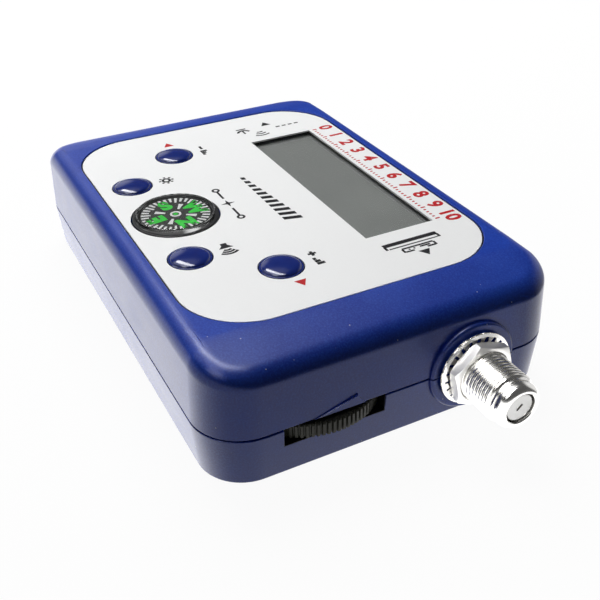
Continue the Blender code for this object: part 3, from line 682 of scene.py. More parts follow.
def lip(height, side):
    """The small round edge of a cover at the parting line, from its flat edge outwards."""
    return [body_ring(lip_round * (1 - s), height + side * lip_round * (1 - c))
            for s, c in quarter(lip_steps)]


def add_bosses(cover, low, high):
    """Both end pads between two heights, and the holes for the connectors."""
    back = half_length - rebate + half_gap
    face = half_length + boss_height
    profile = [(0.0, back), (boss_radius, back)]
    profile += brow(boss_radius, face, boss_edge)
    profile.append((0.0, face))
    for end in CONNECTORS.values():
        pad = bare("pad", at_end(turned(profile), end))
        keep(pad, block(2 * half_length, 2 * half_width, low, high))
        combine(cover, pad, "UNION")
        hole = drum(thread_radius + clearance, half_length - 2 * wall_thickness, face + overrun)
        cut(cover, at_end(hole, end))


def lower_cover():
    """The tub under the parting line."""
    tongue = wall_thickness - tongue_thickness
    tongue_top = lower_top + tongue_height
    inner = wall_thickness + inner_draft
    rings = [body_ring(base_draft + base_edge * (1 - s), base_edge * (1 - c))
             for s, c in quarter(base_steps)]
    rings += list(reversed(lip(lower_top, -1)))
    rings += [body_ring(tongue, lower_top), body_ring(tongue, tongue_top),
              body_ring(wall_thickness, tongue_top), body_ring(inner, floor_thickness + base_edge),
              body_ring(inner + base_edge, floor_thickness)]
    cover = bare("lower_shell", stack(rings))
    for corner in CORNERS:
        add_foot(cover, corner)
    add_bosses(cover, 0.0, lower_top)
    high = parting + tongue_height + overrun
    slot = block(wall_thickness + boss_height, slot_width / 2, slot_sill, high)
    cut(cover, placed(slot, (half_length - wall_thickness / 2, wheel_y, 0.0)))
    drill(cover, wheel_radius + clearance, slot_sill, high, wheel_place)
    dress(cover, case_blue, nodes=("bottom_cover",), slot="case_plastic")


def add_foot(cover, corner):
    """The column for the screw in one corner, with the sink for its head."""
    place = centre_of("case_screw_" + corner)
    low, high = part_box("case_screw_" + corner)
    head = (high.x - low.x) / 2 + clearance
    shank = shank_radius + clearance
    foot_top = floor_thickness + column_foot_height
    column = [(0.0, base_edge), (column_foot_radius, base_edge), (column_foot_radius, foot_top),
              (column_radius, foot_top + base_edge), (column_radius, lower_top), (0.0, lower_top)]
    pillar = bare("pillar", placed(turned(column, small_sides), place))
    inset = base_draft + base_edge
    keep(pillar, stack([body_ring(inset, 0.0), body_ring(inset, lower_top)]))
    combine(cover, pillar, "UNION")
    sink_top = low.z + screw_head_height + clearance
    sink = [(0.0, -overrun), (head + lip_round, -overrun), (head + lip_round, 0.0),
            (head, lip_round), (head, sink_top), (shank, sink_top), (shank, lower_top + overrun),
            (0.0, lower_top + overrun)]
    cut(cover, placed(turned(sink, small_sides), place))


def dark_linings():
    """Thin black strips in the wheel's slot and in the seam between the covers, painted shade where
    those hollows fall dark.
    """
    skin = shade_strip_thickness / 4
    front = half_length - clearance
    back = half_length - wall_thickness
    half_x = (front - back) / 2
    half_y = slot_width / 2 - skin
    middle = (front + back) / 2
    # Painted shade on the slot's sill and jambs
    strips = [placed(block(half_x, half_y, slot_sill + skin, slot_sill + shade_strip_thickness),
                     (middle, wheel_y, 0.0))]
    for side in (-1, 1):
        jamb = block(half_x, shade_strip_thickness / 2, slot_sill + shade_strip_thickness + skin, lower_top - skin)
        strips.append(placed(jamb, (middle, wheel_y + side * (half_y - shade_strip_thickness / 2), 0.0)))
    piece("slot_shade_strips", merged(*strips), black, slot="black_plastic")
    # Painted shade in the seam between the covers
    low = lower_top + skin
    high = upper_base - skin
    outer = rebate / 2
    inner = wall_thickness - tongue_thickness - shade_strip_thickness
    seam = bare("seam_shade_strip", stack([body_ring(outer, low), body_ring(outer, high),
                                      body_ring(inner, high), body_ring(inner, low)], True))
    gaps = [(half_length, wheel_y, slot_width / 2 + shade_strip_thickness)]
    gaps += [(end * half_length, connector_y, boss_radius - boss_edge)
             for end in CONNECTORS.values()]
    for x, y, half in gaps:
        gap = block(2 * wall_thickness, half, low - overrun, high + overrun)
        cut(seam, placed(gap, (x, y, 0.0)))
    dress(seam, black, slot="black_plastic")


def upper_cover():
    """The upper half of the case, with the recess for the label and its openings."""
    rebate_top = parting + tongue_height + clearance
    rings = [body_ring(rebate, upper_base)] + lip(upper_base, 1)
    rings += [body_ring(top_draft + edge_width * (1 - c), rim_height - edge_height * (1 - s), True)
              for s, c in quarter(edge_steps)]
    rings += border_rings()
    recess = drawn_in(RECESS)
    rings += [raised(recess, rim_height - recess_round), raised(recess, recess_floor)]
    inner = wall_thickness + inner_draft
    inside = [body_ring(rebate, rebate_top), body_ring(wall_thickness, rebate_top),
              body_ring(inner, ceiling - edge_height, True),
              body_ring(inner + ceiling_round, ceiling, True), raised(recess, ceiling)]
    cover = bare("upper_shell", stack(list(reversed(inside)) + rings))
    for corner in CORNERS:
        add_column(cover, corner, rebate_top)
    # The well that holds the compass
    radius = compass_radius + clearance
    outside = drum(radius + well_wall, board_high.z + clearance, ceiling + half_gap)
    join(cover, placed(outside, compass_place))
    drill(cover, radius, cup_low.z - clearance, rim_height + overrun, compass_place)
    add_bosses(cover, upper_base, rim_height)
    for name in BUTTONS:
        drill(cover, button_radius + slide_clearance, ceiling - overrun, rim_height,
              centre_of("button_" + name))
    for half_x, half_y, base in (
            (pane_high.x + clearance, pane_half_y + clearance, pane_low.z - clearance),
            (window_half_x - window_step, window_half_y - window_step, ceiling - overrun)):
        cut(cover, placed(block(half_x, half_y, base, rim_height), window_place))
    add_wedge(cover)
    dress(cover, case_blue, nodes=("top_cover",), slot="case_plastic")


def add_column(cover, corner, rebate_top):
    """The screw column in one corner, and the post for the board beside it."""
    place = centre_of("case_screw_" + corner)
    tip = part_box("case_screw_" + corner)[1].z
    column = drum(column_radius, upper_base, ceiling - column_drop, small_sides)
    pillar = bare("pillar", placed(column, place))
    low = wall_thickness + clearance
    high = wall_thickness / 2
    keep(pillar, stack([body_ring(low, 0.0), body_ring(low, rebate_top),
                        body_ring(high, rebate_top),
                        body_ring(high, rim_height - edge_height, True)]))
    combine(cover, pillar, "UNION")
    drill(cover, shank_radius + clearance, upper_base - overrun, tip + clearance, place,
          small_sides)
    place = centre_of("board_screw_" + corner)
    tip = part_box("board_screw_" + corner)[1].z
    post = drum(post_radius, board_high.z + clearance, ceiling + half_gap, small_sides)
    join(cover, placed(post, place))
    drill(cover, post_screw_radius + clearance, board_high.z, tip + clearance, place, small_sides)


def add_wedge(cover):
    """The raised triangle over the wheel, its thin end at the -Y side."""
    thin = wheel_y - wedge_offset
    outline = [(thin, upper_base), (thin + wedge_length, upper_base),
               (thin + wedge_length - wedge_slant, upper_base + wedge_height)]
    back = half_length - wall_thickness / 2
    front = half_length + wedge_relief
    bm = stack([[(back, y, z) for y, z in outline], [(front, y, z) for y, z in outline]])
    rim = [edge for edge in bm.edges if all(vert.co.x > half_length for vert in edge.verts)]
    bmesh.ops.bevel(bm, geom=rim, offset=wedge_relief / 2, segments=wedge_steps, affect="EDGES")
    join(cover, bm)


def label():
    """The printed plate in the recess, with its openings, and a black strip of painted shade in the
    gap round it.
    """
    low = label_base - overrun
    high = label_top + overrun
    rings = [raised(drawn_in(LABEL), label_base)]
    rings += [raised(drawn_in(LABEL, label_bevel * (1 - c)), label_top - label_bevel * (1 - s))
              for s, c in quarter(bevel_steps)]
    plate = bare("face_label", stack(rings))
    cut(plate, placed(block(window_half_x, window_half_y, low, high), window_place))
    for name in BUTTONS:
        drill(plate, button_radius + slide_clearance, low, high, centre_of("button_" + name))
    drill(plate, compass_radius + clearance, low, high, compass_place)
    dress(plate, foil, nodes=("faceplate_label",), slot="label_plate")
    # A black strip under the label's edge paints the shade in the gap round it
    label_gap_shade_strip = bare("label_gap_shade", prism(drawn_in(RECESS), recess_floor + gap_shade_lift,
                                    label_base + gap_shade_rise))
    cut(label_gap_shade_strip, prism(drawn_in(LABEL, -gap_shade_clearance), low, high))
    dress(label_gap_shade_strip, black, slot="black_plastic")


# Display
film_thickness = 0.1 * mm
pane_bevel = 0.12 * mm
border_width = 0.12 * mm
border_reach = 0.9 * mm


def display():
    """The clear pane, the grey film behind it and the dark frame round the opening."""
    half_x = pane_high.x
    outline = rounded(half_x, pane_half_y, pane_bevel, corner=2, side=1)
    top = rounded(half_x - pane_bevel, pane_half_y - pane_bevel, pane_bevel / 2, corner=2, side=1)
    pane = stack([raised(outline, pane_low.z), raised(outline, pane_high.z - pane_bevel),
                  raised(top, pane_high.z)])
    made = piece("display_pane", placed(pane, window_place), pane_clear, nodes=("display_window",),
                 slot="clear_plastic")
    lit_through(made)
    sheet = block(half_x, pane_half_y, pane_low.z - film_thickness,
                  pane_low.z - film_thickness / 10)
    piece("display_film", placed(sheet, window_place), film, slot="display_glass")
    low = label_base - film_thickness
    border = bare("display_border", block(window_half_x + border_reach,
                                          window_half_y + border_reach, low, label_base))
    cut(border, block(window_half_x - border_width, window_half_y - border_width, low - overrun,
                      label_top))
    border.data.transform(Matrix.Translation(window_place))
    dress(border, black, slot="display_glass")


def lit_through(made):
    """Keeps a clear piece from darkening what lies behind it."""
    made.visible_shadow = False
    made.visible_diffuse = False


# Buttons
button_radius = 3.85 * mm
button_skirt = 0.10 * mm
button_shoulder = 0.05 * mm
button_round = 0.08 * mm
dome_inset = 0.33 * mm
dome_steps = 20
socket_radius = 2.05 * mm


def buttons():
    """Glossy domes on a short straight skirt."""
    flange_top = ceiling - clearance
    side = button_radius + button_skirt
    skirt = label_top + button_shoulder
    base = side - dome_inset
    for name in BUTTONS:
        low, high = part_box("button_" + name)
        flange = (high.x - low.x) / 2
        profile = [(0.0, ceiling), (socket_radius, ceiling), (socket_radius, low.z),
                   (flange, low.z), (flange, flange_top), (side, flange_top)]
        profile += brow(side, skirt, button_round)
        profile += [(base * c, skirt + (high.z - skirt) * s) for s, c in quarter(dome_steps)[:-1]]
        profile.append((0.0, high.z))
        cap = placed(turned(profile), centre_of("button_" + name))
        piece("cap_" + name, cap, button_blue, name + "_button", nodes=("button_" + name,),
              slot="button_plastic", sharp=50)


# Compass
cup_wall = 0.7 * mm
cup_floor = 1.0 * mm
cup_ledge = 0.5 * mm
cup_round = 0.10 * mm
lens_round = 0.20 * mm
lens_gap = 0.10 * mm
card_edge = 0.12 * mm
card_thickness = 0.5 * mm
mark_height = 0.03 * mm
ray_count = 36
ray_angle = radians(2.3)
ray_outer = 0.97
ray_inner = 0.76
long_ray_inner = 0.70
hub_share = 0.07
ring_inner = 0.10
ring_outer = 0.16
# An arm of the rose: reach and half width, as shares of the card's radius
arm_shape = ((0.30, -0.03), (0.60, -0.07), (0.60, 0.07), (0.30, 0.03))
letter_size = 4.6 * mm
letter_radius = 4.0 * mm
letter_bold = 0.27 * mm
letter_weld = 1 / 2000
compass_heading = radians(10)


def compass():
    """A black cup, its clear lens, and the card that turns under it."""
    inner = compass_radius - cup_wall
    ledge = inner - cup_ledge
    seat = lens_low.z - clearance
    floor_top = cup_low.z + cup_floor
    profile = [(0.0, cup_low.z), (compass_radius, cup_low.z)]
    profile += brow(compass_radius, cup_high.z, cup_round)
    profile += fillet(inner + cup_round / 2, cup_high.z - cup_round / 2, cup_round / 2, 90, 180)
    profile += [(inner, seat), (ledge, seat), (ledge, floor_top), (0.0, floor_top)]
    piece("compass_ring", placed(turned(profile), compass_place), black, nodes=("compass_cup",),
          slot="black_plastic", sharp=50)

    rim = inner - lens_gap
    plug = ledge - lens_gap
    foot = card_high.z + lens_gap
    profile = [(0.0, foot), (plug, foot), (plug, lens_low.z), (rim, lens_low.z)]
    profile += brow(rim, lens_high.z, lens_round)
    profile.append((0.0, lens_high.z))
    lens = piece("compass_glass", placed(turned(profile), compass_place), lens_clear,
                 nodes=("compass_lens",), slot="clear_plastic", sharp=50)
    lit_through(lens)

    radius = card_high.x
    top = card_high.z
    profile = [(0.0, top - card_thickness), (radius, top - card_thickness)]
    profile += brow(radius, top, card_edge) + [(0.0, top)]
    card_piece("compass_disc", placed(turned(profile), compass_place), card_black,
               nodes=("compass_card",))
    compass_marks(radius, top - mark_height, top + mark_height)


def card_piece(name, bm, finish, **settings):
    piece(name, bm, finish, "compass_dial", slot="compass_card", **settings)


def compass_marks(radius, low, high):
    """Rays, a small rose and letters on the card."""
    marks = []
    for i in range(ray_count):
        inner = radius * (ray_inner if i % 3 else long_ray_inner)
        outer = radius * ray_outer
        outline = [(reach * cos(side * ray_angle), reach * sin(side * ray_angle))
                   for reach, side in ((inner, -1), (outer, -1), (outer, 1), (inner, 1))]
        turn = spin(compass_heading + 2 * pi * i / ray_count)
        marks.append(placed(prism(outline, low, high), compass_place, turn))
    arm = [(radius * along, radius * across) for along, across in arm_shape]
    for i in range(4):
        turn = spin(compass_heading + (i + 0.5) * pi / 2)
        marks.append(placed(prism(arm, low, high), compass_place, turn))
    ring = [(radius * share, height) for share, height in
            ((ring_inner, low), (ring_outer, low), (ring_outer, high), (ring_inner, high))]
    marks.append(placed(turned(ring, small_sides, True), compass_place))
    card_piece("compass_rays", merged(*marks), white_ink)
    hub = drum(radius * hub_share, low, high, small_sides)
    card_piece("compass_hub", placed(hub, compass_place), green_ink)
    for i, letter in enumerate("NESW"):
        angle = compass_heading - i * pi / 2
        mark = lettering(letter, letter_size, low, high, letter_bold)
        place = (letter_radius * cos(angle), compass_y + letter_radius * sin(angle), 0.0)
        card_piece("compass_letter_" + letter, placed(mark, place, spin(angle - pi / 2)),
                   green_ink)


def lettering(text, size, base, top, bold):
    """Letters or numbers as a flat closed mesh, centred on the Z axis."""
    curve = bpy.data.curves.new("lettering", "FONT")
    curve.body = text
    curve.size = size
    curve.align_x = "CENTER"
    curve.align_y = "CENTER"
    curve.offset = bold
    curve.extrude = (top - base) / 2
    curve.resolution_u = text_steps
    holder = bpy.data.objects.new("lettering", curve)
    bpy.context.scene.collection.objects.link(holder)
    bpy.context.view_layer.update()
    graph = bpy.context.evaluated_depsgraph_get()
    mesh = bpy.data.meshes.new_from_object(holder.evaluated_get(graph))
    bpy.data.objects.remove(holder)
    bpy.data.curves.remove(curve)
    bm = bmesh.new()
    bm.from_mesh(mesh)
    bpy.data.meshes.remove(mesh)
    bmesh.ops.remove_doubles(bm, verts=bm.verts, dist=size * letter_weld)
    return placed(bm, (0.0, 0.0, (base + top) / 2))


# Thumbwheel
rib_count = 96
rib_depth = 0.35 * mm
wheel_chamfer = 0.25 * mm
wheel_thickness = 2.8 * mm
hub_radius = 2.2 * mm
axle_bore = 1.3 * mm
rib_shape = ((-0.24, 0.0), (0.24, 0.0), (0.38, 1.0), (0.62, 1.0))


def wheel_outline(inset):
    """The ribbed rim, drawn in by inset."""
    points = []
    for i in range(rib_count):
        for share, depth in rib_shape:
            angle = 2 * pi * (i + share) / rib_count
            radius = wheel_radius - rib_depth * depth - inset
            points.append((radius * cos(angle), radius * sin(angle)))
    return points


def thumbwheel():
    """The ribbed wheel with chamfered rims, its hub and its bore."""
    top = wheel_base + wheel_thickness
    levels = ((wheel_chamfer, wheel_base), (0.0, wheel_base + wheel_chamfer),
              (0.0, top - wheel_chamfer), (wheel_chamfer, top))
    rim = stack([raised(wheel_outline(inset), height) for inset, height in levels])
    wheel = bare("volume_wheel_rim", placed(rim, wheel_place))
    hub = drum(hub_radius, top - wheel_chamfer, wheel_high.z, small_sides)
    join(wheel, placed(hub, wheel_place))
    drill(wheel, axle_bore, wheel_base - overrun, wheel_high.z + overrun, wheel_place, small_sides)
    dress(wheel, wheel_black, "volume_wheel", nodes=("thumbwheel",), slot="wheel_plastic")


# Screws
screw_head_height = 1.5 * mm
shank_radius = 1.05 * mm
post_screw_radius = 0.85 * mm
screw_thread_depth = 0.3 * mm
screw_pitch = 0.9 * mm
cross_reach = 1.3 * mm
cross_width = 0.6 * mm
cross_depth = 0.8 * mm


def case_screws():
    """Cross-head screws with coarse threads, up through the underside."""
    core = shank_radius - screw_thread_depth
    half = cross_width / 2
    for corner in CORNERS:
        place = centre_of("case_screw_" + corner)
        low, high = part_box("case_screw_" + corner)
        head = (high.x - low.x) / 2
        head_top = low.z + screw_head_height
        profile = [(0.0, low.z)] + fillet(head - cup_round, low.z + cup_round, cup_round, 270, 360)
        profile += [(head, head_top), (shank_radius, head_top)]
        height = head_top + screw_pitch
        while height < high.z - 2 * shank_radius:
            profile += [(core, height), (shank_radius, height + screw_pitch / 4),
                        (core, height + screw_pitch / 2)]
            height += screw_pitch
        profile += [(core, high.z - shank_radius), (0.0, high.z)]
        screw = bare("cross_screw_" + corner, placed(turned(profile, small_sides), place))
        for angle in (0.0, pi / 2):
            rings = [[(reach, half, height), (-reach, half, height), (-reach, -half, height),
                      (reach, -half, height)]
                     for reach, height in ((cross_reach, low.z - overrun), (cross_reach, low.z),
                                           (cross_reach / 3, low.z + cross_depth))]
            cut(screw, placed(stack(rings), place, spin(angle)))
        dress(screw, steel, nodes=("case_screw_" + corner,), slot="screw_steel")


# Connectors
thread_radius = 4.72 * mm
thread_depth = 0.45 * mm
thread_pitch = 0.794 * mm
thread_crest_share = 0.30
thread_root_share = 0.14
thread_rows = 12
thread_sides = 96
collar_radius = 4.3 * mm
collar_length = 0.8 * mm
nose_length = 1.95 * mm
nose_radius = 3.2 * mm
nose_base_radius = 4.25 * mm
nose_rounding = 1.3 * mm
nose_steps = 12
bore_radius = 2.85 * mm
shoulder_radius = 5.5 * mm
shoulder_length = 2.2 * mm
tail_radius = 2.0 * mm
pin_bore = 1.05 * mm
slit_length = 1.4 * mm
slit_width = 0.5 * mm
slit_angle = radians(135)
insulator_skin = 0.4 * mm
dish_share = 0.55
washer_tooth = 1.9 * mm
tooth_count = 22
tooth_shape = ((0.0, 1.0, 0.0), (0.14, 1.0, 0.0), (0.20, 0.0, -1.0), (0.80, 0.0, 1.0),
               (0.86, 1.0, 0.0))
nut_width = 11.2 * mm
nut_angle = radians(42)
nut_chamfer = 0.45 * mm
nut_bevel = 0.10 * mm


def crest(angle, height, start, end):
    """Radius of the helical thread, which fades out at both ends."""
    phase = height / thread_pitch - angle / (2 * pi)
    rise = 1 - abs(2 * (phase - floor(phase)) - 1)
    rise = (rise - thread_root_share) / (1 - thread_root_share - thread_crest_share)
    rise = min(max(rise, 0.0), 1.0)
    room = 2 * min(height - start, end - height) / thread_pitch
    return thread_radius - thread_depth * (1 - rise * min(room, 1.0))


def connector_shell(end):
    """The threaded barrel with its collar, rounded nose and bore."""
    front = shell_high.x
    nose_base = front - nose_length
    collar_base = nose_base - collar_length
    start = (nut_low.x + nut_high.x) / 2
    shoulder = half_length - wall_thickness - inner_draft - clearance
    bore_end = plug_low.x - clearance
    plain = thread_radius - thread_depth
    tail = shoulder - shoulder_length
    rows = [(pin_bore, shell_low.x), (tail_radius, shell_low.x), (tail_radius, tail),
            (shoulder_radius, tail), (shoulder_radius, shoulder), (thread_radius, shoulder),
            (thread_radius, start - lip_round), (plain, start)]
    steps = int((collar_base - start) / thread_pitch * thread_rows)
    rows += [(None, start + (collar_base - start) * i / steps) for i in range(1, steps)]
    rows.append((plain, collar_base))
    rows += fillet(collar_radius - lip_round, collar_base + lip_round, lip_round, -90, 0,
                   collar_steps)
    rows += brow(collar_radius, nose_base - lip_round, lip_round, collar_steps)
    rows += [(plain - lip_round, nose_base - lip_round), (plain - lip_round, nose_base)]
    rows += fillet(nose_base_radius - lip_round, nose_base + lip_round, lip_round, -90, 0,
                   collar_steps)
    inner = nose_radius - lip_round
    rows += [(inner + (nose_base_radius - inner) * c, front - nose_rounding * (1 - s))
             for s, c in quarter(nose_steps, 1)]
    rows += [(bore_radius + lip_round, front), (bore_radius, front - lip_round),
             (bore_radius, bore_end), (pin_bore, bore_end)]
    rings = []
    angles = [2 * pi * i / thread_sides for i in range(thread_sides)]
    for radius, height in rows:
        reach = [radius or crest(angle, height, start, collar_base) for angle in angles]
        rings.append([(r * cos(a), r * sin(a), height) for r, a in zip(reach, angles)])
    return bare("barrel", at_end(stack(rings, True), end))


def connector_nut(end):
    """Hexagon nut, chamfered on both faces."""
    low = nut_low.x
    high = nut_high.x
    corner = nut_width / sqrt(3)
    flats = nut_width / 2
    # The turn of +Z onto X takes local Y to Y and local -X to Z, so a corner's angle is a
    # quarter turn more here than on the meter
    hexagon = prism(circle(corner, 6, end * (nut_angle + pi / 2)), low, high)
    nut = bare("nut", at_end(hexagon, end))
    limit = [(0.0, low), (flats + nut_bevel, low), (corner + nut_bevel, low + nut_chamfer),
             (corner + nut_bevel, high - nut_chamfer), (flats - nut_bevel, high), (0.0, high)]
    keep(nut, at_end(turned(limit), end))
    hole = thread_radius + nut_bevel
    mouth = hole + 2 * nut_bevel
    bore = [(0.0, low - overrun), (hole, low - overrun), (hole, high - 2 * nut_bevel),
            (mouth, high), (mouth, high + overrun), (0.0, high + overrun)]
    cut(nut, at_end(turned(bore), end))
    return nut


def connector_washer(end):
    """Lock washer: a ring with twisted teeth on its inner side."""
    middle = (washer_low.x + washer_high.x) / 2
    half = (washer_high.x - washer_low.x) / 2
    slant = half / 2
    outer = (washer_high.y - washer_low.y) / 2
    hole = thread_radius + clearance
    root = hole + washer_tooth
    neck = root + lip_round
    rings = [[] for _ in range(7)]
    for i in range(tooth_count):
        for share, inward, twist in tooth_shape:
            angle = 2 * pi * (i + share) / tooth_count
            radius = hole + washer_tooth * inward
            lift = twist * slant
            section = ((radius, lift - slant), (neck, -slant), (outer - lip_round, -half),
                       (outer, 0.0), (outer - lip_round, half), (neck, slant),
                       (radius, lift + slant))
            for ring, (reach, height) in zip(rings, section):
                ring.append((reach * cos(angle), reach * sin(angle), middle + height))
    return bare("washer", at_end(stack(rings, True), end))


def connector_plug(end):
    """The insulator in the bore, with the slit in front of the contact."""
    outer = bore_radius - clearance
    face = plug_high.x
    skin = face - insulator_skin
    dish = face - lip_round / 2
    profile = [(pin_bore, plug_low.x), (outer, plug_low.x)]
    profile += brow(outer, face, lip_round, plug_steps)
    profile += [(outer * dish_share, dish), (0.0, dish), (0.0, skin), (pin_bore, skin)]
    plug = bare("plug", at_end(turned(profile, small_sides, True), end))
    slit = block(slit_length / 2, slit_width / 2, skin - clearance, face + overrun)
    cut(plug, at_end(slit, end, spin(slit_angle)))
    return plug


def connectors():
    kinds = (("shell", connector_shell, plating, "plated_metal"),
             ("nut", connector_nut, dull_plating, "plated_metal"),
             ("washer", connector_washer, plating, "plated_metal"),
             ("insulator", connector_plug, white_plastic, "insulator_plastic"))
    for name, end in CONNECTORS.items():
        for kind, make, finish, slot in kinds:
            made = make(end)
            made.name = "fine_" + kind + "_" + name
            dress(made, finish, nodes=("connector_" + kind + "_" + name,), slot=slot)


# Print on the label, its places in millimetres from the middle of the meter
print_height = 0.012 * mm
print_base = label_top - print_height
print_top = label_top + print_height
print_bold = 0.17 * mm
line_weight = 1.8
arc_steps = 24
dot_sides = 24
scale_left = -25.0
scale_numbers = 11
number_step = 5
tick_y = 23.95
tick_width = 0.22
long_tick = 1.0
short_tick = 0.55
number_y = 27.2
number_size = 4.4
bar_count = 11
bar_left = -9.6
bar_base = -1.6
bar_pitch = 2.0
bar_width = 1.15
bar_lean = 0.25
first_bar = 0.9
bar_growth = 0.27
lamp_place = Vector((-15.9, -15.6))
speaker_place = Vector((15.9, -15.7))
rose_y = -8.4
attenuator_x = 26.8


def flat(points):
    """A thin closed print from an outline, its base sunk in the label."""
    return prism([(x * mm, y * mm) for x, y in points], print_base, print_top)


def stroke(x0, y0, x1, y1, width):
    """A straight printed line with square ends."""
    start = Vector((x0, y0))
    end = Vector((x1, y1))
    along = (end - start).normalized()
    side = Vector((-along.y, along.x)) * line_weight * width / 2
    return flat([tuple(start + side), tuple(start - side), tuple(end - side), tuple(end + side)])


def strokes(width, *lines):
    return [stroke(*line, width) for line in lines]


def arc(x, y, radius, first, last, width):
    """A printed piece of a ring, between two angles in degrees."""
    half = line_weight * width / 2
    angles = [radians(first + (last - first) * step / arc_steps) for step in range(arc_steps + 1)]
    inner = [(x + (radius - half) * cos(a), y + (radius - half) * sin(a)) for a in angles]
    outer = [(x + (radius + half) * cos(a), y + (radius + half) * sin(a)) for a in angles]
    return flat(inner + list(reversed(outer)))


def dot(x, y, radius):
    return flat([(x + a, y + b) for a, b in circle(radius, dot_sides)])


def printed(name, ink_used, *meshes):
    piece(name, merged(*meshes), ink_used, slot="label_plate")


def signal_scale():
    """Red scale of 0 to 10 along the display."""
    marks = []
    for i in range((scale_numbers - 1) * number_step + 1):
        x = scale_left + i
        tall = short_tick if i % number_step else long_tick
        marks.append(stroke(x, tick_y, x, tick_y + tall, tick_width))
    for i in range(scale_numbers):
        number = lettering(str(i), number_size * mm, print_base, print_top, print_bold)
        marks.append(placed(number, ((scale_left + number_step * i) * mm, number_y * mm, 0.0)))
    printed("signal_scale", red_ink, *marks)


def strength_bars():
    """Slanted bars that rise to the right, under the display."""
    marks = []
    for i in range(bar_count):
        height = first_bar + bar_growth * i
        left = bar_left + bar_pitch * i
        lean = bar_lean * height
        marks.append(flat([(left, bar_base), (left + bar_width, bar_base),
                           (left + bar_width + lean, bar_base + height),
                           (left + lean, bar_base + height)]))
    printed("strength_bars", black_ink, *marks)


def caption_icons():
    """Signs beside the buttons and the compass instead of words."""
    lamp = [arc(*lamp_place, 0.72, 0, 360, 0.30)]
    for i in range(8):
        ray = Vector((cos(i * pi / 4), sin(i * pi / 4)))
        lamp.append(stroke(*(lamp_place + 1.1 * ray), *(lamp_place + 1.6 * ray), 0.26))
    printed("icon_light", black_ink, *lamp)
    speaker = [flat([(14.4, -16.3), (15.2, -16.3), (16.2, -17.1), (16.2, -14.3), (15.2, -15.1),
                     (14.4, -15.1)])]
    speaker += [arc(*speaker_place, radius, -40, 40, 0.28) for radius in (1.1, 1.8, 2.5)]
    printed("icon_sound", black_ink, *speaker)
    star = []
    for i in range(8):
        radius = 0.42 if i % 2 else 1.5
        star.append((radius * cos(i * pi / 4), rose_y + radius * sin(i * pi / 4)))
    rose = [flat(star)]
    for side in (-1, 1):
        rose.append(stroke(side * 2.3, rose_y, side * 5.6, rose_y, 0.26))
        rose.append(arc(side * 6.4, rose_y, 0.62, 0, 360, 0.26))
    printed("icon_compass", black_ink, *rose)
    for name, side in (("left", -1), ("right", 1)):
        x = side * attenuator_x
        sign = [stroke(x - 2.2, -3.0, x - 0.6, -3.0, 0.32)]
        if side > 0:
            sign += strokes(0.32, (x - 1.4, -3.8, x - 1.4, -3.17), (x - 1.4, -2.83, x - 1.4, -2.2))
        for i in range(3):
            bar = x + 0.5 + 0.85 * i
            sign.append(stroke(bar, -3.8, bar, -3.15 + 0.45 * (i if side > 0 else 2 - i), 0.42))
        printed("icon_attenuator_" + name, black_ink, *sign)
        printed("arrow_attenuator_" + name, red_ink,
                flat([(side * 32.3, -10.1), (side * 34.3, -8.95), (side * 32.3, -7.8)]))


def end_marks():
    """Brackets, arrows and icons that tell the two ends apart."""
    printed("bracket_receiver", black_ink, *strokes(0.60, (29.6, 9.3, 29.6, 20.9)),
            *strokes(0.30, (29.9, 9.45, 31.1, 9.45), (29.9, 20.75, 31.1, 20.75)),
            *strokes(0.18, (30.96, 9.9, 30.96, 20.4)))
    box = strokes(0.26, (31.9, 11.9, 31.9, 18.6), (33.1, 12.03, 33.1, 13.9),
                  (33.1, 16.7, 33.1, 18.47), (32.03, 11.9, 33.23, 11.9),
                  (32.03, 18.6, 33.23, 18.6), (32.5, 15.4, 32.5, 17.6))
    printed("icon_receiver", black_ink, *box, dot(32.5, 13.2, 0.22), dot(32.5, 14.2, 0.22))
    printed("arrow_receiver", black_ink, flat([(33.8, 14.2), (35.75, 15.4), (33.8, 16.6)]))
    printed("arrow_dish", black_ink, flat([(-33.0, 14.4), (-34.95, 15.6), (-33.0, 16.8)]))
    printed("icon_dish", black_ink, arc(-31.1, 9.2, 1.5, 110, 250, 0.34),
            stroke(-32.4, 9.2, -31.0, 9.2, 0.22), dot(-30.8, 9.2, 0.24),
            stroke(-33.4, 8.0, -33.4, 10.4, 0.26))
    waves = [arc(-31.4, 12.6, radius, -30, 30, 0.24) for radius in (1.4, 2.4, 3.4)]
    waves += [stroke(-31.0, 17.2 + 1.6 * i, -31.0, 18.2 + 1.6 * i, 0.30) for i in range(4)]
    printed("waves_dish", black_ink, *waves)


# Camera, light and ground
camera_place = (0.14465829, -0.06557784, 0.10229754)
camera_angles = (56.58272557, 0.79792756, 62.74735559)
camera_lens = 52.14027
camera_near = 5.0 * mm
room_level = 0.8
room_above = 0.08
room_below = 0.05
glow_high = 0.12
glow_horizon = 0.15
glow_below = 2.1
glow_foot = -0.12
glow_reach = 0.55
horizon_softness = 0.05
backdrop_tilt = 0.4
# Bright parts of the table and the room in reflections: direction, edge, core and strength
GLOWS = (((-0.73, -0.39, -0.56), 0.70, 0.97, 1.1), ((-0.30, -0.77, -0.56), 0.75, 0.98, 0.8),
         ((-0.46, 0.05, 0.88), 0.91, 0.985, 0.8),
         ((-0.50, -0.42, 0.76), 0.93, 0.965, 2.6), ((-0.96, 0.0, 0.28), 0.955, 0.985, 1.0),
         ((-0.05, -0.29, 0.95), 0.95, 0.985, 7.0),
         ((-0.15, 0.98, 0.05), 0.80, 0.95, 1.0), ((0.205, -0.56, 0.776), 0.97, 0.99, 10.0))
table_half = 0.9
table_thickness = 0.002
table_glow_share = 0.95
table_colour = (0.88, 0.88, 0.88)


def add_camera():
    data = bpy.data.cameras.new("camera")
    data.lens = camera_lens
    data.clip_start = camera_near
    camera = bpy.data.objects.new("camera", data)
    camera.location = camera_place
    camera.rotation_euler = Euler([radians(angle) for angle in camera_angles])
    bpy.context.scene.collection.objects.link(camera)
    bpy.context.scene.camera = camera


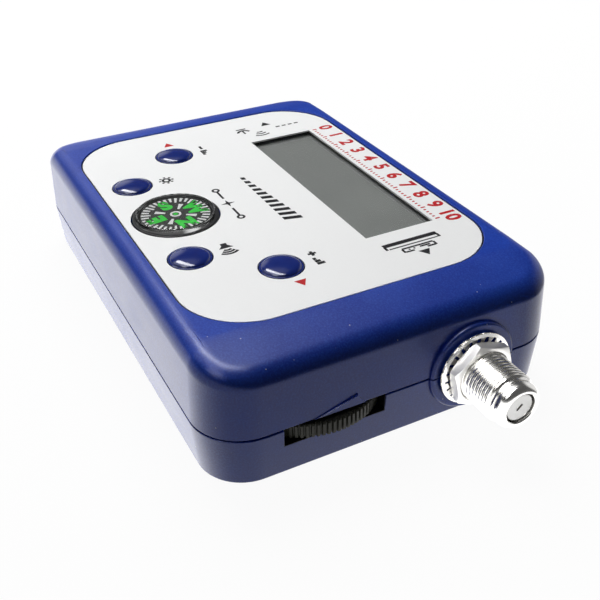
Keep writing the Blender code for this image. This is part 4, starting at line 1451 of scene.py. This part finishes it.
def softbox(name, direction, distance, length, width, power, along=(0.0, 1.0, 0.0)):
    """A rectangular lamp that faces the middle of the meter, its length along a direction."""
    data = bpy.data.lights.new(name, "AREA")
    data.shape = "RECTANGLE"
    data.size = length
    data.size_y = width
    data.energy = power
    back = Vector(direction).normalized()
    side = back.cross(Vector(along)).normalized()
    lamp = bpy.data.objects.new(name, data)
    lamp.location = back * distance
    lamp.rotation_euler = Matrix((side.cross(back), side, back)).transposed().to_euler()
    bpy.context.scene.collection.objects.link(lamp)
    return lamp


def add_world():
    """White for the camera, and in gloss a dim room over a bright table."""
    world = bpy.data.worlds.new("studio")
    world.use_nodes = True
    world.node_tree.nodes.clear()
    bpy.context.scene.world = world
    tree = Nodes(world.node_tree)

    def step(value, low, high, start, end):
        return tree.spread(value, low, high, start, end, interpolation_type="SMOOTHSTEP")

    direction = tree.node("ShaderNodeTexCoord").outputs["Generated"]
    parts = tree.node("ShaderNodeSeparateXYZ")
    tree.link(direction, parts.inputs[0])
    height = parts.outputs["Z"]
    room = step(height, -horizon_softness, horizon_softness, room_below, room_above)
    tilt = tree.calculate("MULTIPLY", parts.outputs["Y"], backdrop_tilt)
    low = step(tree.calculate("ADD", height, tilt), glow_foot, horizon_softness, glow_below,
               glow_horizon)
    fading = step(height, 0.0, glow_reach, 1.0, glow_high / glow_horizon)
    mirrored = tree.calculate("MULTIPLY", low, fading)
    for place, edge, core, strength in GLOWS:
        dot_product = tree.node("ShaderNodeVectorMath", operation="DOT_PRODUCT")
        tree.link(direction, dot_product.inputs[0])
        dot_product.inputs[1].default_value = Vector(place).normalized()
        lobe = step(dot_product.outputs["Value"], edge, core, 0.0, strength)
        mirrored = tree.calculate("ADD", mirrored, lobe)
    rays = tree.node("ShaderNodeLightPath").outputs
    glossy = rays["Is Glossy Ray"]
    mirrored = tree.calculate("MULTIPLY", mirrored, glossy)
    plain = tree.calculate("SUBTRACT", 1.0, glossy)
    value = tree.calculate("ADD", mirrored, tree.calculate("MULTIPLY", plain, room))
    value = tree.calculate("MULTIPLY", value, room_level)
    value = tree.calculate("MAXIMUM", value, rays["Is Camera Ray"])
    # Clear pieces show the white only to the camera, so they add no light of their own
    bounces = tree.calculate("ADD", rays["Glossy Depth"], rays["Diffuse Depth"])
    straight = tree.calculate("LESS_THAN", bounces, 0.5)
    through = tree.calculate("MULTIPLY", rays["Is Transmission Ray"], straight)
    background = tree.node("ShaderNodeBackground")
    background.inputs["Color"].default_value = (1.0, 1.0, 1.0, 1.0)
    tree.link(tree.calculate("MAXIMUM", value, through), background.inputs["Strength"])
    output = tree.node("ShaderNodeOutputWorld")
    tree.link(background.outputs[0], output.inputs["Surface"])


def add_table():
    """A pale table that keeps the meter's shadow."""
    table = bare("table", block(table_half, table_half, -table_thickness, 0.0))
    made = bpy.data.materials.new("table")
    made.use_nodes = True
    made.node_tree.nodes.clear()
    tree = Nodes(made.node_tree)
    matt = tree.node("ShaderNodeBsdfDiffuse")
    matt.inputs["Color"].default_value = (*table_colour, 1.0)
    glow = tree.node("ShaderNodeEmission")
    mix = tree.node("ShaderNodeMixShader")
    seen = tree.node("ShaderNodeLightPath").outputs["Is Camera Ray"]
    sources = (tree.calculate("MULTIPLY", seen, table_glow_share), matt.outputs[0], glow.outputs[0])
    for source, socket in zip(sources, mix.inputs):
        tree.link(source, socket)
    tree.link(mix.outputs[0], tree.node("ShaderNodeOutputMaterial").inputs["Surface"])
    table.data.materials.append(made)
    table.visible_glossy = False
    table.visible_diffuse = False


bpy.context.scene.view_settings.view_transform = "Standard"
add_camera()
add_world()
main = softbox("main", (-0.60, 0.10, 0.79), 0.60, 0.50, 0.50, 4.85)
main.visible_glossy = False
main.visible_transmission = False
strip = softbox("strip", (-0.30, -0.05, 0.95), 0.60, 0.60, 0.14, 4.60, (0.84, 0.20, 0.37))
strip.visible_diffuse = False
strip.visible_transmission = False
add_table()

lower_cover()
upper_cover()
dark_linings()
label()
display()
buttons()
compass()
thumbwheel()
case_screws()
connectors()
signal_scale()
strength_bars()
caption_icons()
end_marks()
